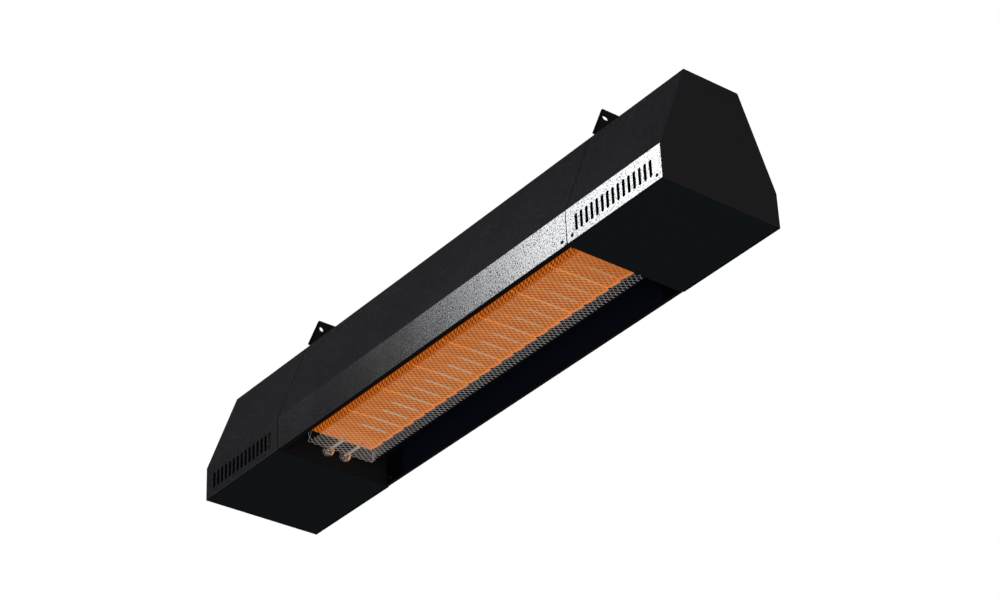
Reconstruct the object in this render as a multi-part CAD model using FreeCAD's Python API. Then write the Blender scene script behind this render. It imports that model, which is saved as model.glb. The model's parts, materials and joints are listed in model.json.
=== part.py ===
import FreeCAD, Part
import math
import os

V = FreeCAD.Vector

# Gas infrared heater, hung from a ceiling. Millimetres, +X along the hood, +Z up.
# The front, with the vent slots that face the viewer, is at -Y. The origin lies at
# the middle of the hood's bottom edge.

# Ceramic plaques, which set the length of the middle section
PLAQUE_COUNT = 8
PLAQUE_LENGTH = 92.0
PLAQUE_WIDTH = 132.0
PLAQUE_THICK = 13.0
PLAQUE_JOINT = 1.4
PLAQUE_RIBS = 3
GROOVE_WIDTH = 4.0
GROOVE_DEPTH = 2.6

# Hood section and end compartments
BASE_WIDTH = 242.0
SIDE_HEIGHT = 65.0
HOOD_HEIGHT = 232.0
TOP_WIDTH = 115.0
END_LENGTH = 227.5
BURNER_END_GAP = 21.8
SHEET = 1.2
BEND = 1.5
LIP = 8.0

# Fits and clearances
SHEET_FIT = 0.15
RUN_GAP = 0.3
PIN_FIT = 0.05
OVERCUT = 1.0

# Bulkheads with their hanger tabs
BULKHEAD = 2.0
SEAM_INSET = 0.5
SIDE_FLANGE = 43.0
SIDE_FLANGE_FOOT = 8.0
SIDE_FLANGE_HEAD = 9.0
TOP_FLANGE = 18.0
TOP_FLANGE_WIDTH = 90.0
TAB_PLATE = 3.0
TAB_HEIGHT = 66.5
TAB_INSET = 0.5
TAB_TOP_WIDTH = 59.0
TAB_CORNER = 1.0
TAB_SHOULDER = 9.0
TAB_NOTCH = 5.0
TAB_ROOT = 25.0
HANGER_HOLE = 9.4
HANGER_SLOT = 12.4
HANGER_SLOT_WIDTH = 8.4
HANGER_DROP = 16.5
HANGER_EDGE = 12.3

# Vent slots
SLOT_WIDTH = 6.6
SLOT_HEIGHT = 32.0
SLOT_PITCH = 12.6
SLOT_FOOT = 15.2
SLOT_MARGIN = 25.0

# End caps and bottom pans
CAP_FLANGE = 12.0
CAP_FLANGE_FOOT = 25.0
PAN_FLANGE = 15.0

# Casing screws and nuts
SCREW_Z = 11.9
SCREW_SHANK = 3.5
SCREW_HEAD = 6.4
SCREW_HEAD_HEIGHT = 2.0
SCREW_LENGTH = 9.0
SCREW_HOLE = 3.9
SCREW_NOTCH = 4.3
NUT_WIDTH = 6.0
NUT_THICK = 2.4
HOOD_SCREW_INSET = 10.6
PAN_SCREW_INSET = 14.4
CAP_SCREW_INSET = 12.5

# Guard basket and burner box
GUARD_Z = 23.0
GUARD_SHEET = 1.0
GUARD_BEND = 4.0
GUARD_DEPTH = 22.5
GUARD_OVERLAP = 17.5
GUARD_OVERHANG = 3.2
NET_PITCH_X = 18.0
NET_PITCH_Y = 28.0
NET_STRAND = 3.0
NET_RIM = 3.0
TRAY_SHEET = 1.0
TRAY_LIP = 4.5
TRAY_FLANGE = 8.0
TRAY_FREE = 21.5
GASKET = 1.5
BRACKET_SHEET = 1.5
BRACKET_WIDTH = 120.0
BRACKET_LEG = 27.0

# Mixing tube and injector
VENTURI_R = 14.0
VENTURI_WALL = 1.5
VENTURI_GAP = 3.0
VENTURI_HEADROOM = 6.0
VENTURI_REACH = 240.0
BELL_R = 22.0
BELL_LENGTH = 24.0
JET_GAP = 10.0
JET_NOZZLE = 8.0
JET_COLLAR = 6.0
JET_COLLAR_R = 8.0
JET_THREAD_R = 5.0
JET_THREAD = 10.0
JET_BORE_R = 1.2
JET_TIP_R = 2.5
JET_PLATE = 2.0
JET_PLATE_WIDTH = 44.0
JET_PLATE_HEAD = 16.0
JET_FOOT = 14.0

# Gas valve
VALVE_STANDOFF = 80.0
VALVE_LENGTH = 40.0
VALVE_WIDTH = 92.0
VALVE_HEIGHT = 50.0
PORT_DEPTH = 6.0
PASSAGE_R = 2.0
FEED_R = 5.0
FEED_WALL = 1.5
SOLENOID_SPACING = 44.0
CHAMBER_R = 8.0
CHAMBER_DEPTH = 18.0
SEAT_R = 5.0
SEAT_BORE_R = 2.5
SEAT_HEIGHT = 2.0
SEAT_GAP = 0.1
PLUNGER_R = 5.0
PLUNGER_LENGTH = 36.0
SEAL_R = 6.0
SEAL_THICK = 4.0
PLUNGER_TRAVEL = 2.5
GUIDE_WALL = 1.5
GUIDE_END = 4.0
GUIDE_FLANGE = 2.0
GUIDE_FLANGE_R = 11.0
COIL_R = 18.0
COIL_LENGTH = 38.0
SPRING_LENGTH = 20.0
SPRING_R = 3.6
SPRING_WIRE_R = 0.4
SPRING_TURNS = 6
SHELF_SHEET = 1.5
SHELF_LENGTH = 176.0
SHELF_WIDTH = 104.0
SHELF_LEG = 30.0
SHELF_WINDOW = 4.0

# Gas inlet
INLET_SETBACK = 12.0
INLET_PIPE_R = 8.0
INLET_PIPE_WALL = 1.5
INLET_SOCKET = 8.0
INLET_THREAD_R = 10.5
INLET_NECK_R = 12.0
INLET_NECK_SPARE = 1.0
INLET_STANDOUT = 32.0
INLET_HEX = 30.0
INLET_HEX_HEIGHT = 14.0
LOCKNUT_HEX = 34.0
LOCKNUT_HEIGHT = 6.0
THREAD_FIT = 0.1
ENTRY_HOLE_FIT = 0.3

# Controls
CONTROL_STANDOFF = 45.0
CONTROL_LENGTH = 110.0
CONTROL_WIDTH = 70.0
CONTROL_HEIGHT = 60.0
CONTROL_WALL = 2.5
COVER_HEIGHT = 8.5
COVER_LIP = 5.0
TERMINAL_LENGTH = 14.0
TERMINAL_WIDTH = 50.0
TERMINAL_HEIGHT = 22.0
TERMINAL_GAP = 3.0
TERMINAL_WAYS = 5
TERMINAL_SCREW_R = 3.0
GLAND_THREAD_R = 10.0
GLAND_BORE_R = 4.5
GLAND_HEX = 24.0
GLAND_HEX_HEIGHT = 8.0
GLAND_DOME_R = 11.5
GLAND_MOUTH_R = 7.5
GLAND_DOME_HEIGHT = 20.0
GLAND_TAIL = 10.0
GLAND_NUT_HEX = 26.0
GLAND_NUT_HEIGHT = 5.0

# Electrodes and leads
ELECTRODE_SPACING = 36.5
ELECTRODE_R = 1.2
ELECTRODE_TIP = 64.0
SLEEVE_R = 3.0
SLEEVE_END = 52.5
SLEEVE_GAP = 0.8
BULB_R = 11.0
BULB_BASE_R = 8.0
BULB_BELLY = 6.5
BULB_LENGTH = 18.0
INSULATOR_R = 6.0
INSULATOR_TAIL = 17.5
ELECTRODE_PLATE = 1.5
ELECTRODE_PLATE_WIDTH = 66.0
ELECTRODE_PLATE_FOOT = 7.5
ELECTRODE_PLATE_HEAD = 11.0
LEAD_R = 2.5
LEAD_BEND = 6.0
LEAD_RISE = 30.0
CABLE_R = 3.5
CABLE_RISE = 25.0
CABLE_BEND = 15.0
CABLE_FIT = 0.2

# Heat shield and insulation
SHIELD_RISE = 12.0
SHIELD_SHEET = 1.0
SHIELD_GAP = 20.0
SHIELD_EDGE = 22.0
BLANKET_THICK = 20.0
BLANKET_GAP = 2.0

# Places worked out from the sizes
half_base = BASE_WIDTH / 2
half_top = TOP_WIDTH / 2
field_half = (PLAQUE_COUNT * PLAQUE_LENGTH + (PLAQUE_COUNT - 1) * PLAQUE_JOINT) / 2
tray_half_x = field_half + GASKET + 2 * SHEET_FIT + TRAY_SHEET
tray_half_y = PLAQUE_WIDTH / 2 + GASKET + 2 * SHEET_FIT + TRAY_SHEET
seam_x = tray_half_x + BURNER_END_GAP
bulk_out = seam_x + BULKHEAD
tab_out = bulk_out + TAB_PLATE
tab_top = HOOD_HEIGHT + TAB_HEIGHT
shoulder_z = HOOD_HEIGHT + TAB_SHOULDER
half_length = seam_x + END_LENGTH
cap_in = half_length - SHEET
inner_half = half_base - SHEET
side_cut = SHEET + SHEET_FIT + 2 * BULKHEAD
lean = math.atan2(half_base - half_top, HOOD_HEIGHT - SIDE_HEIGHT)

face_z = GUARD_Z + GUARD_DEPTH
plaque_top = face_z + PLAQUE_THICK
tray_bottom = face_z - TRAY_SHEET
tray_top = plaque_top + TRAY_FREE
cover_flange_top = tray_top + TRAY_SHEET
gas_z = cover_flange_top + VENTURI_GAP + VENTURI_R
cover_top = gas_z + VENTURI_R + VENTURI_HEADROOM + TRAY_SHEET
shelf_top = gas_z - VALVE_HEIGHT / 2

guard_half_y = tray_half_y + SHEET_FIT + GUARD_SHEET
guard_half_x = tray_half_x + GUARD_OVERHANG
guard_top = tray_bottom + GUARD_OVERLAP
electrode_z = GUARD_Z + GUARD_SHEET + SLEEVE_GAP + SLEEVE_R
electrode_y = ELECTRODE_SPACING / 2

bell_x = bulk_out + BELL_LENGTH
jet_tip = bell_x + JET_GAP
jet_plate_x = jet_tip + JET_NOZZLE + JET_COLLAR
jet_end = jet_plate_x + JET_THREAD
valve_in = bulk_out + VALVE_STANDOFF
valve_out = valve_in + VALVE_LENGTH
seat_x = valve_out - CHAMBER_DEPTH + SEAT_HEIGHT
plunger_x = seat_x + SEAT_GAP
spring_x = plunger_x + PLUNGER_LENGTH
guide_end = spring_x + SPRING_LENGTH
coil_x = valve_out + GUIDE_FLANGE
guide_bore_r = PLUNGER_R + PIN_FIT
guide_r = guide_bore_r + GUIDE_WALL
solenoid_y = SOLENOID_SPACING / 2
entry_x = valve_out - INLET_SETBACK
entry_y = solenoid_y
valve_top = gas_z + VALVE_HEIGHT / 2
top_inside = HOOD_HEIGHT - SHEET

control_in = bulk_out + CONTROL_STANDOFF
control_out = control_in + CONTROL_LENGTH
control_top = shelf_top + CONTROL_HEIGHT
lid_top = control_top + COVER_HEIGHT
shield_z = cover_top + SHIELD_RISE
blanket_top = shield_z + SHIELD_SHEET + BLANKET_THICK
cable_z = max(lid_top, blanket_top) + CABLE_RISE
cable_y = -solenoid_y


# Basic solids
def block(x0, x1, y0, y1, z0, z1):
    """A box between two corners."""
    return Part.makeBox(x1 - x0, y1 - y0, z1 - z0, V(x0, y0, z0))


def bar_x(radius, x0, x1, y, z):
    """A round bar along X."""
    return Part.makeCylinder(radius, x1 - x0, V(x0, y, z), V(1, 0, 0))


def bar_y(radius, x, y0, y1, z):
    """A round bar along Y."""
    return Part.makeCylinder(radius, y1 - y0, V(x, y0, z), V(0, 1, 0))


def bar_z(radius, x, y, z0, z1):
    """A round bar along Z."""
    return Part.makeCylinder(radius, z1 - z0, V(x, y, z0), V(0, 0, 1))


def hex_z(across, x, y, z0, z1):
    """A hexagon bar along Z, given across its flats."""
    reach = across / math.sqrt(3)
    corners = [V(x + reach * math.cos(math.radians(60 * k)), y + reach * math.sin(math.radians(60 * k)), z0)
               for k in range(7)]
    return Part.Face(Part.makePolygon(corners)).extrude(V(0, 0, z1 - z0))


def cut(shape, tools):
    """The shape without all the tools."""
    return shape.cut(Part.makeCompound(tools))


def fuse(first, *others):
    """One solid from pieces that meet."""
    return first.multiFuse(list(others)).removeSplitter()


def mirrored(shape):
    """The same piece at the other end of the hood."""
    return shape.mirror(V(0, 0, 0), V(1, 0, 0))


def both_sides(values):
    """Each value with both signs."""
    return [sign * value for value in values for sign in (1, -1)]


# Outlines and folded sheet
def corner_edges(points, radius):
    """Edges through the points, with a tangent arc at each inner corner."""
    edges = []
    start = points[0]
    for before, corner, after in zip(points, points[1:], points[2:]):
        arrive = (corner - before).normalize()
        leave = (after - corner).normalize()
        turn = arrive.getAngle(leave)
        setback = radius * math.tan(turn / 2)
        first = corner - arrive * setback
        last = corner + leave * setback
        inward = (leave - arrive).normalize()
        middle = corner + inward * (radius / math.cos(turn / 2) - radius)
        edges.append(Part.LineSegment(start, first).toShape())
        edges.append(Part.Arc(first, middle, last).toShape())
        start = last
    edges.append(Part.LineSegment(start, points[-1]).toShape())
    return edges


def at_x(points, x):
    """Section points (y, z) as places at one x."""
    return [V(x, y, z) for y, z in points]


def parallel(points, distance):
    """The line beside an open path of (y, z) points, on the right as one goes along it."""
    normals = []
    for (y0, z0), (y1, z1) in zip(points, points[1:]):
        run = math.hypot(y1 - y0, z1 - z0)
        normals.append(((z1 - z0) / run, (y0 - y1) / run))
    result = []
    for index, (y, z) in enumerate(points):
        a = normals[max(index - 1, 0)]
        b = normals[min(index, len(normals) - 1)]
        share = distance / (1 + a[0] * b[0] + a[1] * b[1])
        result.append((y + (a[0] + b[0]) * share, z + (a[1] + b[1]) * share))
    return result


def folded(points, thickness, bend, x0, x1):
    """Sheet folded along a section path, its thickness on the right, carried from x0 to x1."""
    outer = at_x(points, x0)
    inner = at_x(parallel(points, thickness), x0)
    edges = corner_edges(outer, bend + thickness)
    edges.append(Part.LineSegment(outer[-1], inner[-1]).toShape())
    edges += corner_edges(inner[::-1], bend)
    edges.append(Part.LineSegment(inner[0], outer[0]).toShape())
    return Part.Face(Part.Wire(edges)).extrude(V(x1 - x0, 0, 0))


def plate_x(points, radius, x0, x1):
    """A flat plate across X with rounded corners, its foot edge straight."""
    places = at_x(points, x0)
    edges = corner_edges(places, radius)
    edges.append(Part.LineSegment(places[-1], places[0]).toShape())
    return Part.Face(Part.Wire(edges)).extrude(V(x1 - x0, 0, 0))


def lathe_x(profile, y, z):
    """A turned piece about a line along X. Profile points are (x, r); a pair of points is an arc."""
    edges = []
    last = profile[0]
    start = last
    for step in profile[1:] + [start]:
        if isinstance(step[0], tuple):
            middle, step = step
            edges.append(Part.Arc(V(last[0], y, z + last[1]), V(middle[0], y, z + middle[1]),
                                  V(step[0], y, z + step[1])).toShape())
        else:
            edges.append(Part.LineSegment(V(last[0], y, z + last[1]), V(step[0], y, z + step[1])).toShape())
        last = step
    return Part.Face(Part.Wire(edges)).revolve(V(0, y, z), V(1, 0, 0), 360)


def round_run(points, radius, bend):
    """A round lead along straight runs joined by tangent arcs."""
    path = Part.Wire(corner_edges(points, bend))
    ring = Part.Wire(Part.Circle(points[0], points[1] - points[0], radius).toShape())
    run = path.makePipeShell([ring], True, False)
    expected = math.pi * radius ** 2 * path.Length
    print("lead volume against section times length:", round(run.Volume / expected, 4))
    return run


def hood_half(z):
    """Half the hood's outer width at a height."""
    return half_base - max(0.0, z - SIDE_HEIGHT) * math.tan(lean)


def hood_section(foot):
    """Outer section of the hood from the front foot over the top to the rear foot."""
    return [(-half_base, foot), (-half_base, SIDE_HEIGHT), (-half_top, HOOD_HEIGHT),
            (half_top, HOOD_HEIGHT), (half_base, SIDE_HEIGHT), (half_base, foot)]


def section_inside(distance, foot):
    """The hood section moved in by a distance, from a foot height."""
    points = parallel(hood_section(0.0), distance)
    return [(points[0][0], foot)] + points[1:-1] + [(points[-1][0], foot)]


# Casing
def side_holes(x_places, diameter):
    """Round cutters through both side strips at screw height."""
    return [bar_y(diameter / 2, x, side * half_base - side_cut, side * half_base + side_cut, SCREW_Z)
            for x in x_places for side in (-1, 1)]


def middle_hood():
    """The long hood over the burner, with a lip turned in along each bottom edge."""
    feet = hood_section(0.0)
    path = [(LIP - half_base, 0.0)] + feet + [(half_base - LIP, 0.0)]
    shell = folded(path, SHEET, BEND, -seam_x, seam_x)
    return cut(shell, side_holes(both_sides([seam_x - HOOD_SCREW_INSET]), SCREW_HOLE))


def vent_slots():
    """Upright round-ended cutters in a row along one end section, front and rear."""
    room = END_LENGTH - 2 * SLOT_MARGIN
    count = int(room / SLOT_PITCH) + 1
    first = seam_x + END_LENGTH / 2 - SLOT_PITCH * (count - 1) / 2
    radius = SLOT_WIDTH / 2
    low = SLOT_FOOT + radius
    high = SLOT_FOOT + SLOT_HEIGHT - radius
    slots = []
    for index in range(count):
        x = first + index * SLOT_PITCH
        for side in (-1, 1):
            y0 = side * half_base - side_cut
            y1 = side * half_base + side_cut
            slots.append(fuse(block(x - radius, x + radius, y0, y1, low, high),
                              bar_y(radius, x, y0, y1, low), bar_y(radius, x, y0, y1, high)))
    return slots


def tab_half(z):
    """Half the hanger tab's width at a height."""
    base = half_top - TAB_INSET
    share = (z - HOOD_HEIGHT) / TAB_HEIGHT
    return base + (TAB_TOP_WIDTH / 2 - base) * share


def tab_neck():
    """Half the hanger tab's width where it passes through the hood's top."""
    return tab_half(shoulder_z) - TAB_NOTCH


def end_hood(entry_r):
    """The hood over the right compartment, slotted, with an entry hole and the tab's notch in its top."""
    shell = folded(hood_section(0.0), SHEET, BEND, bulk_out, cap_in)
    screws = side_holes([seam_x + PAN_SCREW_INSET, half_length - CAP_SCREW_INSET], SCREW_HOLE)
    below = top_inside - OVERCUT
    above = HOOD_HEIGHT + OVERCUT
    entry = bar_z(entry_r, entry_x, entry_y, below, above)
    notch_y = tab_neck() + RUN_GAP
    notch = block(bulk_out - OVERCUT, tab_out + RUN_GAP, -notch_y, notch_y, below, above)
    return cut(shell, vent_slots() + screws + [entry, notch])


def end_cap():
    """The right end plate, with a flange that fits inside the hood's end."""
    plate = plate_x(hood_section(0.0), BEND + SHEET, cap_in, half_length)
    rim = section_inside(SHEET + SHEET_FIT, CAP_FLANGE_FOOT)
    return fuse(plate, folded(rim, SHEET, BEND, cap_in - CAP_FLANGE, cap_in))


def hanger_plate(hole_width, hole_length):
    """The plate on the bulkhead's outer face that stands out of the hood's top as a hanger tab."""
    neck = tab_neck()
    front = [(-neck, HOOD_HEIGHT - TAB_ROOT), (-neck, shoulder_z), (-tab_half(shoulder_z), shoulder_z),
             (-TAB_TOP_WIDTH / 2, tab_top)]
    rear = [(-y, z) for y, z in front[::-1]]
    hole_z = tab_top - HANGER_DROP
    hole_y = tab_half(hole_z) - HANGER_EDGE
    radius = hole_width / 2
    reach = hole_length / 2 - radius
    x0 = bulk_out - OVERCUT
    x1 = tab_out + OVERCUT
    holes = []
    for y in (hole_y, -hole_y):
        for end in (-reach, reach):
            holes.append(bar_x(radius, x0, x1, y + end, hole_z))
        if reach > 0:
            holes.append(block(x0, x1, y - reach, y + reach, hole_z - radius, hole_z + radius))
    return cut(plate_x(front + rear, TAB_CORNER, bulk_out, tab_out), holes)


def bulkhead(hole_width, hole_length):
    """The right bulkhead: a plate across the hood with flanges and a hanger plate on its outer face."""
    body = plate_x(section_inside(SEAM_INSET, SHEET + RUN_GAP), BEND, seam_x, bulk_out)
    face = inner_half - SHEET_FIT
    head = SIDE_HEIGHT - SIDE_FLANGE_HEAD
    sides = [block(seam_x - SIDE_FLANGE, seam_x, -face, BULKHEAD - face, SIDE_FLANGE_FOOT, head),
             block(seam_x - SIDE_FLANGE, seam_x, face - BULKHEAD, face, SIDE_FLANGE_FOOT, head)]
    under = top_inside - SHEET_FIT
    width = TOP_FLANGE_WIDTH / 2
    tops = [block(seam_x - TOP_FLANGE, seam_x, -width, width, under - BULKHEAD, under),
            block(bulk_out, bulk_out + TOP_FLANGE, -width, width, under - BULKHEAD, under)]
    cable = bar_x(CABLE_R + CABLE_FIT, seam_x - OVERCUT, bulk_out + OVERCUT, cable_y, cable_z)
    whole = fuse(body, hanger_plate(hole_width, hole_length), *sides, *tops)
    return cut(whole, [cable] + side_holes([seam_x - HOOD_SCREW_INSET], SCREW_HOLE))


def right_bulkhead():
    """Slotted hanger holes and the hole that the mixing tube passes through."""
    tube = bar_x(VENTURI_R + PIN_FIT, seam_x - OVERCUT, bulk_out + OVERCUT, 0, gas_z)
    return cut(bulkhead(HANGER_SLOT_WIDTH, HANGER_SLOT), [tube])


def electrode_holes(x0, x1):
    """Cutters for the two insulators."""
    return [bar_x(INSULATOR_R + PIN_FIT, x0, x1, y, electrode_z) for y in (electrode_y, -electrode_y)]


def left_bulkhead():
    """Round hanger holes and two holes for the electrodes."""
    plate = cut(bulkhead(HANGER_HOLE, HANGER_HOLE), electrode_holes(seam_x - OVERCUT, bulk_out + OVERCUT))
    return mirrored(plate)


def bottom_pan():
    """The flat cover under the right compartment. Its side flanges are notched for the screws."""
    side = inner_half - RUN_GAP
    near = seam_x + RUN_GAP
    far = cap_in - RUN_GAP
    path = [(side, PAN_FLANGE), (side, 0.0), (-side, 0.0), (-side, PAN_FLANGE)]
    tray = folded(path, SHEET, BEND, near, far)
    clear = bulk_out + RUN_GAP
    ends = [block(x, x + SHEET, SHEET * 2 - side, side - SHEET * 2, 0, PAN_FLANGE)
            for x in (clear, far - SHEET)]
    notches = [block(near - OVERCUT, clear, y0, y1, SHEET, PAN_FLANGE + OVERCUT)
               for y0, y1 in ((-half_base, SHEET * 2 - side), (side - SHEET * 2, half_base))]
    for x in (seam_x + PAN_SCREW_INSET, half_length - CAP_SCREW_INSET):
        notches.append(block(x - SCREW_NOTCH / 2, x + SCREW_NOTCH / 2, -half_base, half_base,
                             SCREW_Z, PAN_FLANGE + OVERCUT))
        notches.append(bar_y(SCREW_NOTCH / 2, x, -half_base, half_base, SCREW_Z))
    return fuse(cut(tray, notches), *ends)


def screw(x, side):
    """A screw with a head like a slice of a ball, driven in through a side strip."""
    radius = SCREW_HEAD / 2
    ball = (radius ** 2 + SCREW_HEAD_HEIGHT ** 2) / (2 * SCREW_HEAD_HEIGHT)
    half_way = math.asin(radius / ball) / 2
    crown = (ball - SCREW_HEAD_HEIGHT - ball * math.cos(half_way), ball * math.sin(half_way))
    profile = [(-SCREW_HEAD_HEIGHT, 0.0), (crown, (0.0, radius)), (0.0, SCREW_SHANK / 2),
               (SCREW_LENGTH, SCREW_SHANK / 2), (SCREW_LENGTH, 0.0)]
    body = lathe_x(profile, 0, 0)
    body.rotate(V(0, 0, 0), V(0, 0, 1), -90 * side)
    body.translate(V(x, side * half_base, SCREW_Z))
    return body


def screw_nut(x, side):
    """A square nut behind the sheets that a screw clamps."""
    face = inner_half - SHEET_FIT - BULKHEAD - PIN_FIT
    half = NUT_WIDTH / 2
    y0, y1 = sorted((side * face, side * (face - NUT_THICK)))
    nut = block(x - half, x + half, y0, y1, SCREW_Z - half, SCREW_Z + half)
    return cut(nut, [bar_y(SCREW_SHANK / 2 + PIN_FIT, x, y0 - OVERCUT, y1 + OVERCUT, SCREW_Z)])


# Burner
def plaque(index):
    """One ceramic plaque, its face down, divided into ribs by grooves across it."""
    pitch = PLAQUE_LENGTH + PLAQUE_JOINT
    x0 = index * pitch - field_half
    half = PLAQUE_WIDTH / 2
    body = block(x0, x0 + PLAQUE_LENGTH, -half, half, face_z, plaque_top)
    grooves = []
    for rib in range(1, PLAQUE_RIBS):
        x = x0 + PLAQUE_LENGTH * rib / PLAQUE_RIBS
        left = V(x - GROOVE_WIDTH / 2, -half, face_z)
        right = V(x + GROOVE_WIDTH / 2, -half, face_z)
        section = Part.makePolygon([left, V(x, -half, face_z + GROOVE_DEPTH), right, left])
        grooves.append(Part.Face(section).extrude(V(0, PLAQUE_WIDTH, 0)))
    return cut(body, grooves)


def frame(half_x, half_y, wall, z0, z1):
    """A rectangular ring, given by its outside and its wall."""
    outside = block(-half_x, half_x, -half_y, half_y, z0, z1)
    return cut(outside, [block(wall - half_x, half_x - wall, wall - half_y, half_y - wall,
                              z0 - OVERCUT, z1 + OVERCUT)])


def plaque_gasket():
    """Ceramic-fibre strip between the plaques and the tray wall."""
    return frame(tray_half_x - TRAY_SHEET - SHEET_FIT, tray_half_y - TRAY_SHEET - SHEET_FIT, GASKET,
                 face_z, plaque_top)


def burner_tray():
    """Tray that holds the plaques on an inward lip, with an outward flange on top."""
    wall = frame(tray_half_x, tray_half_y, TRAY_SHEET, tray_bottom, tray_top)
    lip = frame(tray_half_x, tray_half_y, TRAY_SHEET + TRAY_LIP, tray_bottom, face_z)
    flange = frame(tray_half_x + TRAY_FLANGE, tray_half_y + TRAY_FLANGE, TRAY_FLANGE + TRAY_SHEET,
                   tray_top - TRAY_SHEET, tray_top)
    return fuse(wall, lip, flange)


def plenum_cover():
    """Back of the burner: a box over the tray, with the hole for the mixing tube in its right end."""
    wall = frame(tray_half_x, tray_half_y, TRAY_SHEET, tray_top, cover_top)
    roof = block(-tray_half_x, tray_half_x, -tray_half_y, tray_half_y, cover_top - TRAY_SHEET, cover_top)
    flange = frame(tray_half_x + TRAY_FLANGE, tray_half_y + TRAY_FLANGE, TRAY_FLANGE + TRAY_SHEET,
                   tray_top, cover_flange_top)
    tube = bar_x(VENTURI_R + PIN_FIT, tray_half_x - TRAY_SHEET - OVERCUT, tray_half_x + OVERCUT, 0, gas_z)
    return cut(fuse(wall, roof, flange), [tube])


def burner_bracket():
    """Angle on the right bulkhead whose shelf carries the tray's flange."""
    top = tray_top - TRAY_SHEET
    half = BRACKET_WIDTH / 2
    shelf = block(tray_half_x + 2 * TRAY_SHEET, seam_x, -half, half, top - BRACKET_SHEET, top)
    leg = block(seam_x - BRACKET_SHEET, seam_x, -half, half, top - BRACKET_LEG, top)
    return fuse(shelf, leg)


def guard_net(half_x, half_y):
    """Flat bottom of the guard: one face with staggered diamond gaps, as thick as the sheet."""
    rim = [V(-half_x, -half_y, GUARD_Z), V(half_x, -half_y, GUARD_Z), V(half_x, half_y, GUARD_Z),
           V(-half_x, half_y, GUARD_Z), V(-half_x, -half_y, GUARD_Z)]
    slant = NET_PITCH_X * NET_PITCH_Y / 2 / math.hypot(NET_PITCH_X, NET_PITCH_Y)
    share = 1 - NET_STRAND / 2 / slant
    reach_x = NET_PITCH_X / 2 * share
    reach_y = NET_PITCH_Y / 2 * share
    rows = int((half_y - NET_RIM - reach_y) / (NET_PITCH_Y / 2))
    columns = int((half_x - NET_RIM - reach_x) / (NET_PITCH_X / 2))
    gaps = []
    for row in range(-rows, rows + 1):
        for column in range(-columns, columns + 1):
            if (row + column) % 2:
                continue
            x = column * NET_PITCH_X / 2
            y = row * NET_PITCH_Y / 2
            gaps.append(Part.makePolygon([V(x - reach_x, y, GUARD_Z), V(x, y - reach_y, GUARD_Z),
                                          V(x + reach_x, y, GUARD_Z), V(x, y + reach_y, GUARD_Z),
                                          V(x - reach_x, y, GUARD_Z)]))
    print("gaps in the guard net:", len(gaps))
    holed = Part.Face([Part.makePolygon(rim)] + gaps)
    return holed.extrude(V(0, 0, GUARD_SHEET))


def guard_mesh():
    """Basket under the plaques: a netted bottom and two upright walls against the tray."""
    flat = guard_half_y - GUARD_SHEET - GUARD_BEND
    rear = folded([(guard_half_y, guard_top), (guard_half_y, GUARD_Z), (flat, GUARD_Z)],
                  GUARD_SHEET, GUARD_BEND - GUARD_SHEET, -guard_half_x, guard_half_x)
    front = folded([(-flat, GUARD_Z), (-guard_half_y, GUARD_Z), (-guard_half_y, guard_top)],
                   GUARD_SHEET, GUARD_BEND - GUARD_SHEET, -guard_half_x, guard_half_x)
    return fuse(guard_net(guard_half_x, flat), rear, front)


def venturi_tube():
    """Mixing tube through the right bulkhead into the burner box, its bell an arc tangent to the tube."""
    throat = VENTURI_R - VENTURI_WALL
    mouth = BELL_R - VENTURI_WALL
    far = bell_x - VENTURI_REACH
    flare = BELL_R - VENTURI_R
    sweep = (BELL_LENGTH ** 2 + flare ** 2) / (2 * flare)
    half_way = math.asin(BELL_LENGTH / sweep) / 2
    bow_x = bulk_out + sweep * math.sin(half_way)
    bow_r = VENTURI_R + sweep * (1 - math.cos(half_way))
    return lathe_x([(far, VENTURI_R), (bulk_out, VENTURI_R), ((bow_x, bow_r), (bell_x, BELL_R)),
                    (bell_x, mouth), ((bow_x, bow_r - VENTURI_WALL), (bulk_out, throat)),
                    (far, throat)], 0, gas_z)


def injector():
    """Brass jet: nozzle towards the bell, collar on the bracket plate, thread behind it."""
    collar_x = jet_tip + JET_NOZZLE
    thread_r = JET_THREAD_R - PIN_FIT
    return lathe_x([(jet_tip, JET_BORE_R), (jet_tip, JET_TIP_R), (collar_x, JET_THREAD_R),
                    (collar_x, JET_COLLAR_R), (jet_plate_x, JET_COLLAR_R), (jet_plate_x, thread_r),
                    (jet_end, thread_r), (jet_end, JET_BORE_R)], 0, gas_z)


def injector_bracket():
    """Upright plate on the valve shelf that holds the jet in line with the mixing tube."""
    half = JET_PLATE_WIDTH / 2
    plate = block(jet_plate_x, jet_plate_x + JET_PLATE, -half, half, shelf_top, gas_z + JET_PLATE_HEAD)
    foot = block(jet_plate_x, jet_plate_x + JET_FOOT, -half, half, shelf_top, shelf_top + JET_PLATE)
    hole = bar_x(JET_THREAD_R, jet_plate_x - OVERCUT, jet_plate_x + JET_PLATE + OVERCUT, 0, gas_z)
    return cut(fuse(plate, foot), [hole])


def gas_feed_pipe():
    """Short pipe from the valve's outlet to the jet."""
    far = valve_in + PORT_DEPTH
    pipe = bar_x(FEED_R, jet_end, far, 0, gas_z)
    return cut(pipe, [bar_x(FEED_R - FEED_WALL, jet_end - OVERCUT, far + OVERCUT, 0, gas_z)])


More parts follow.
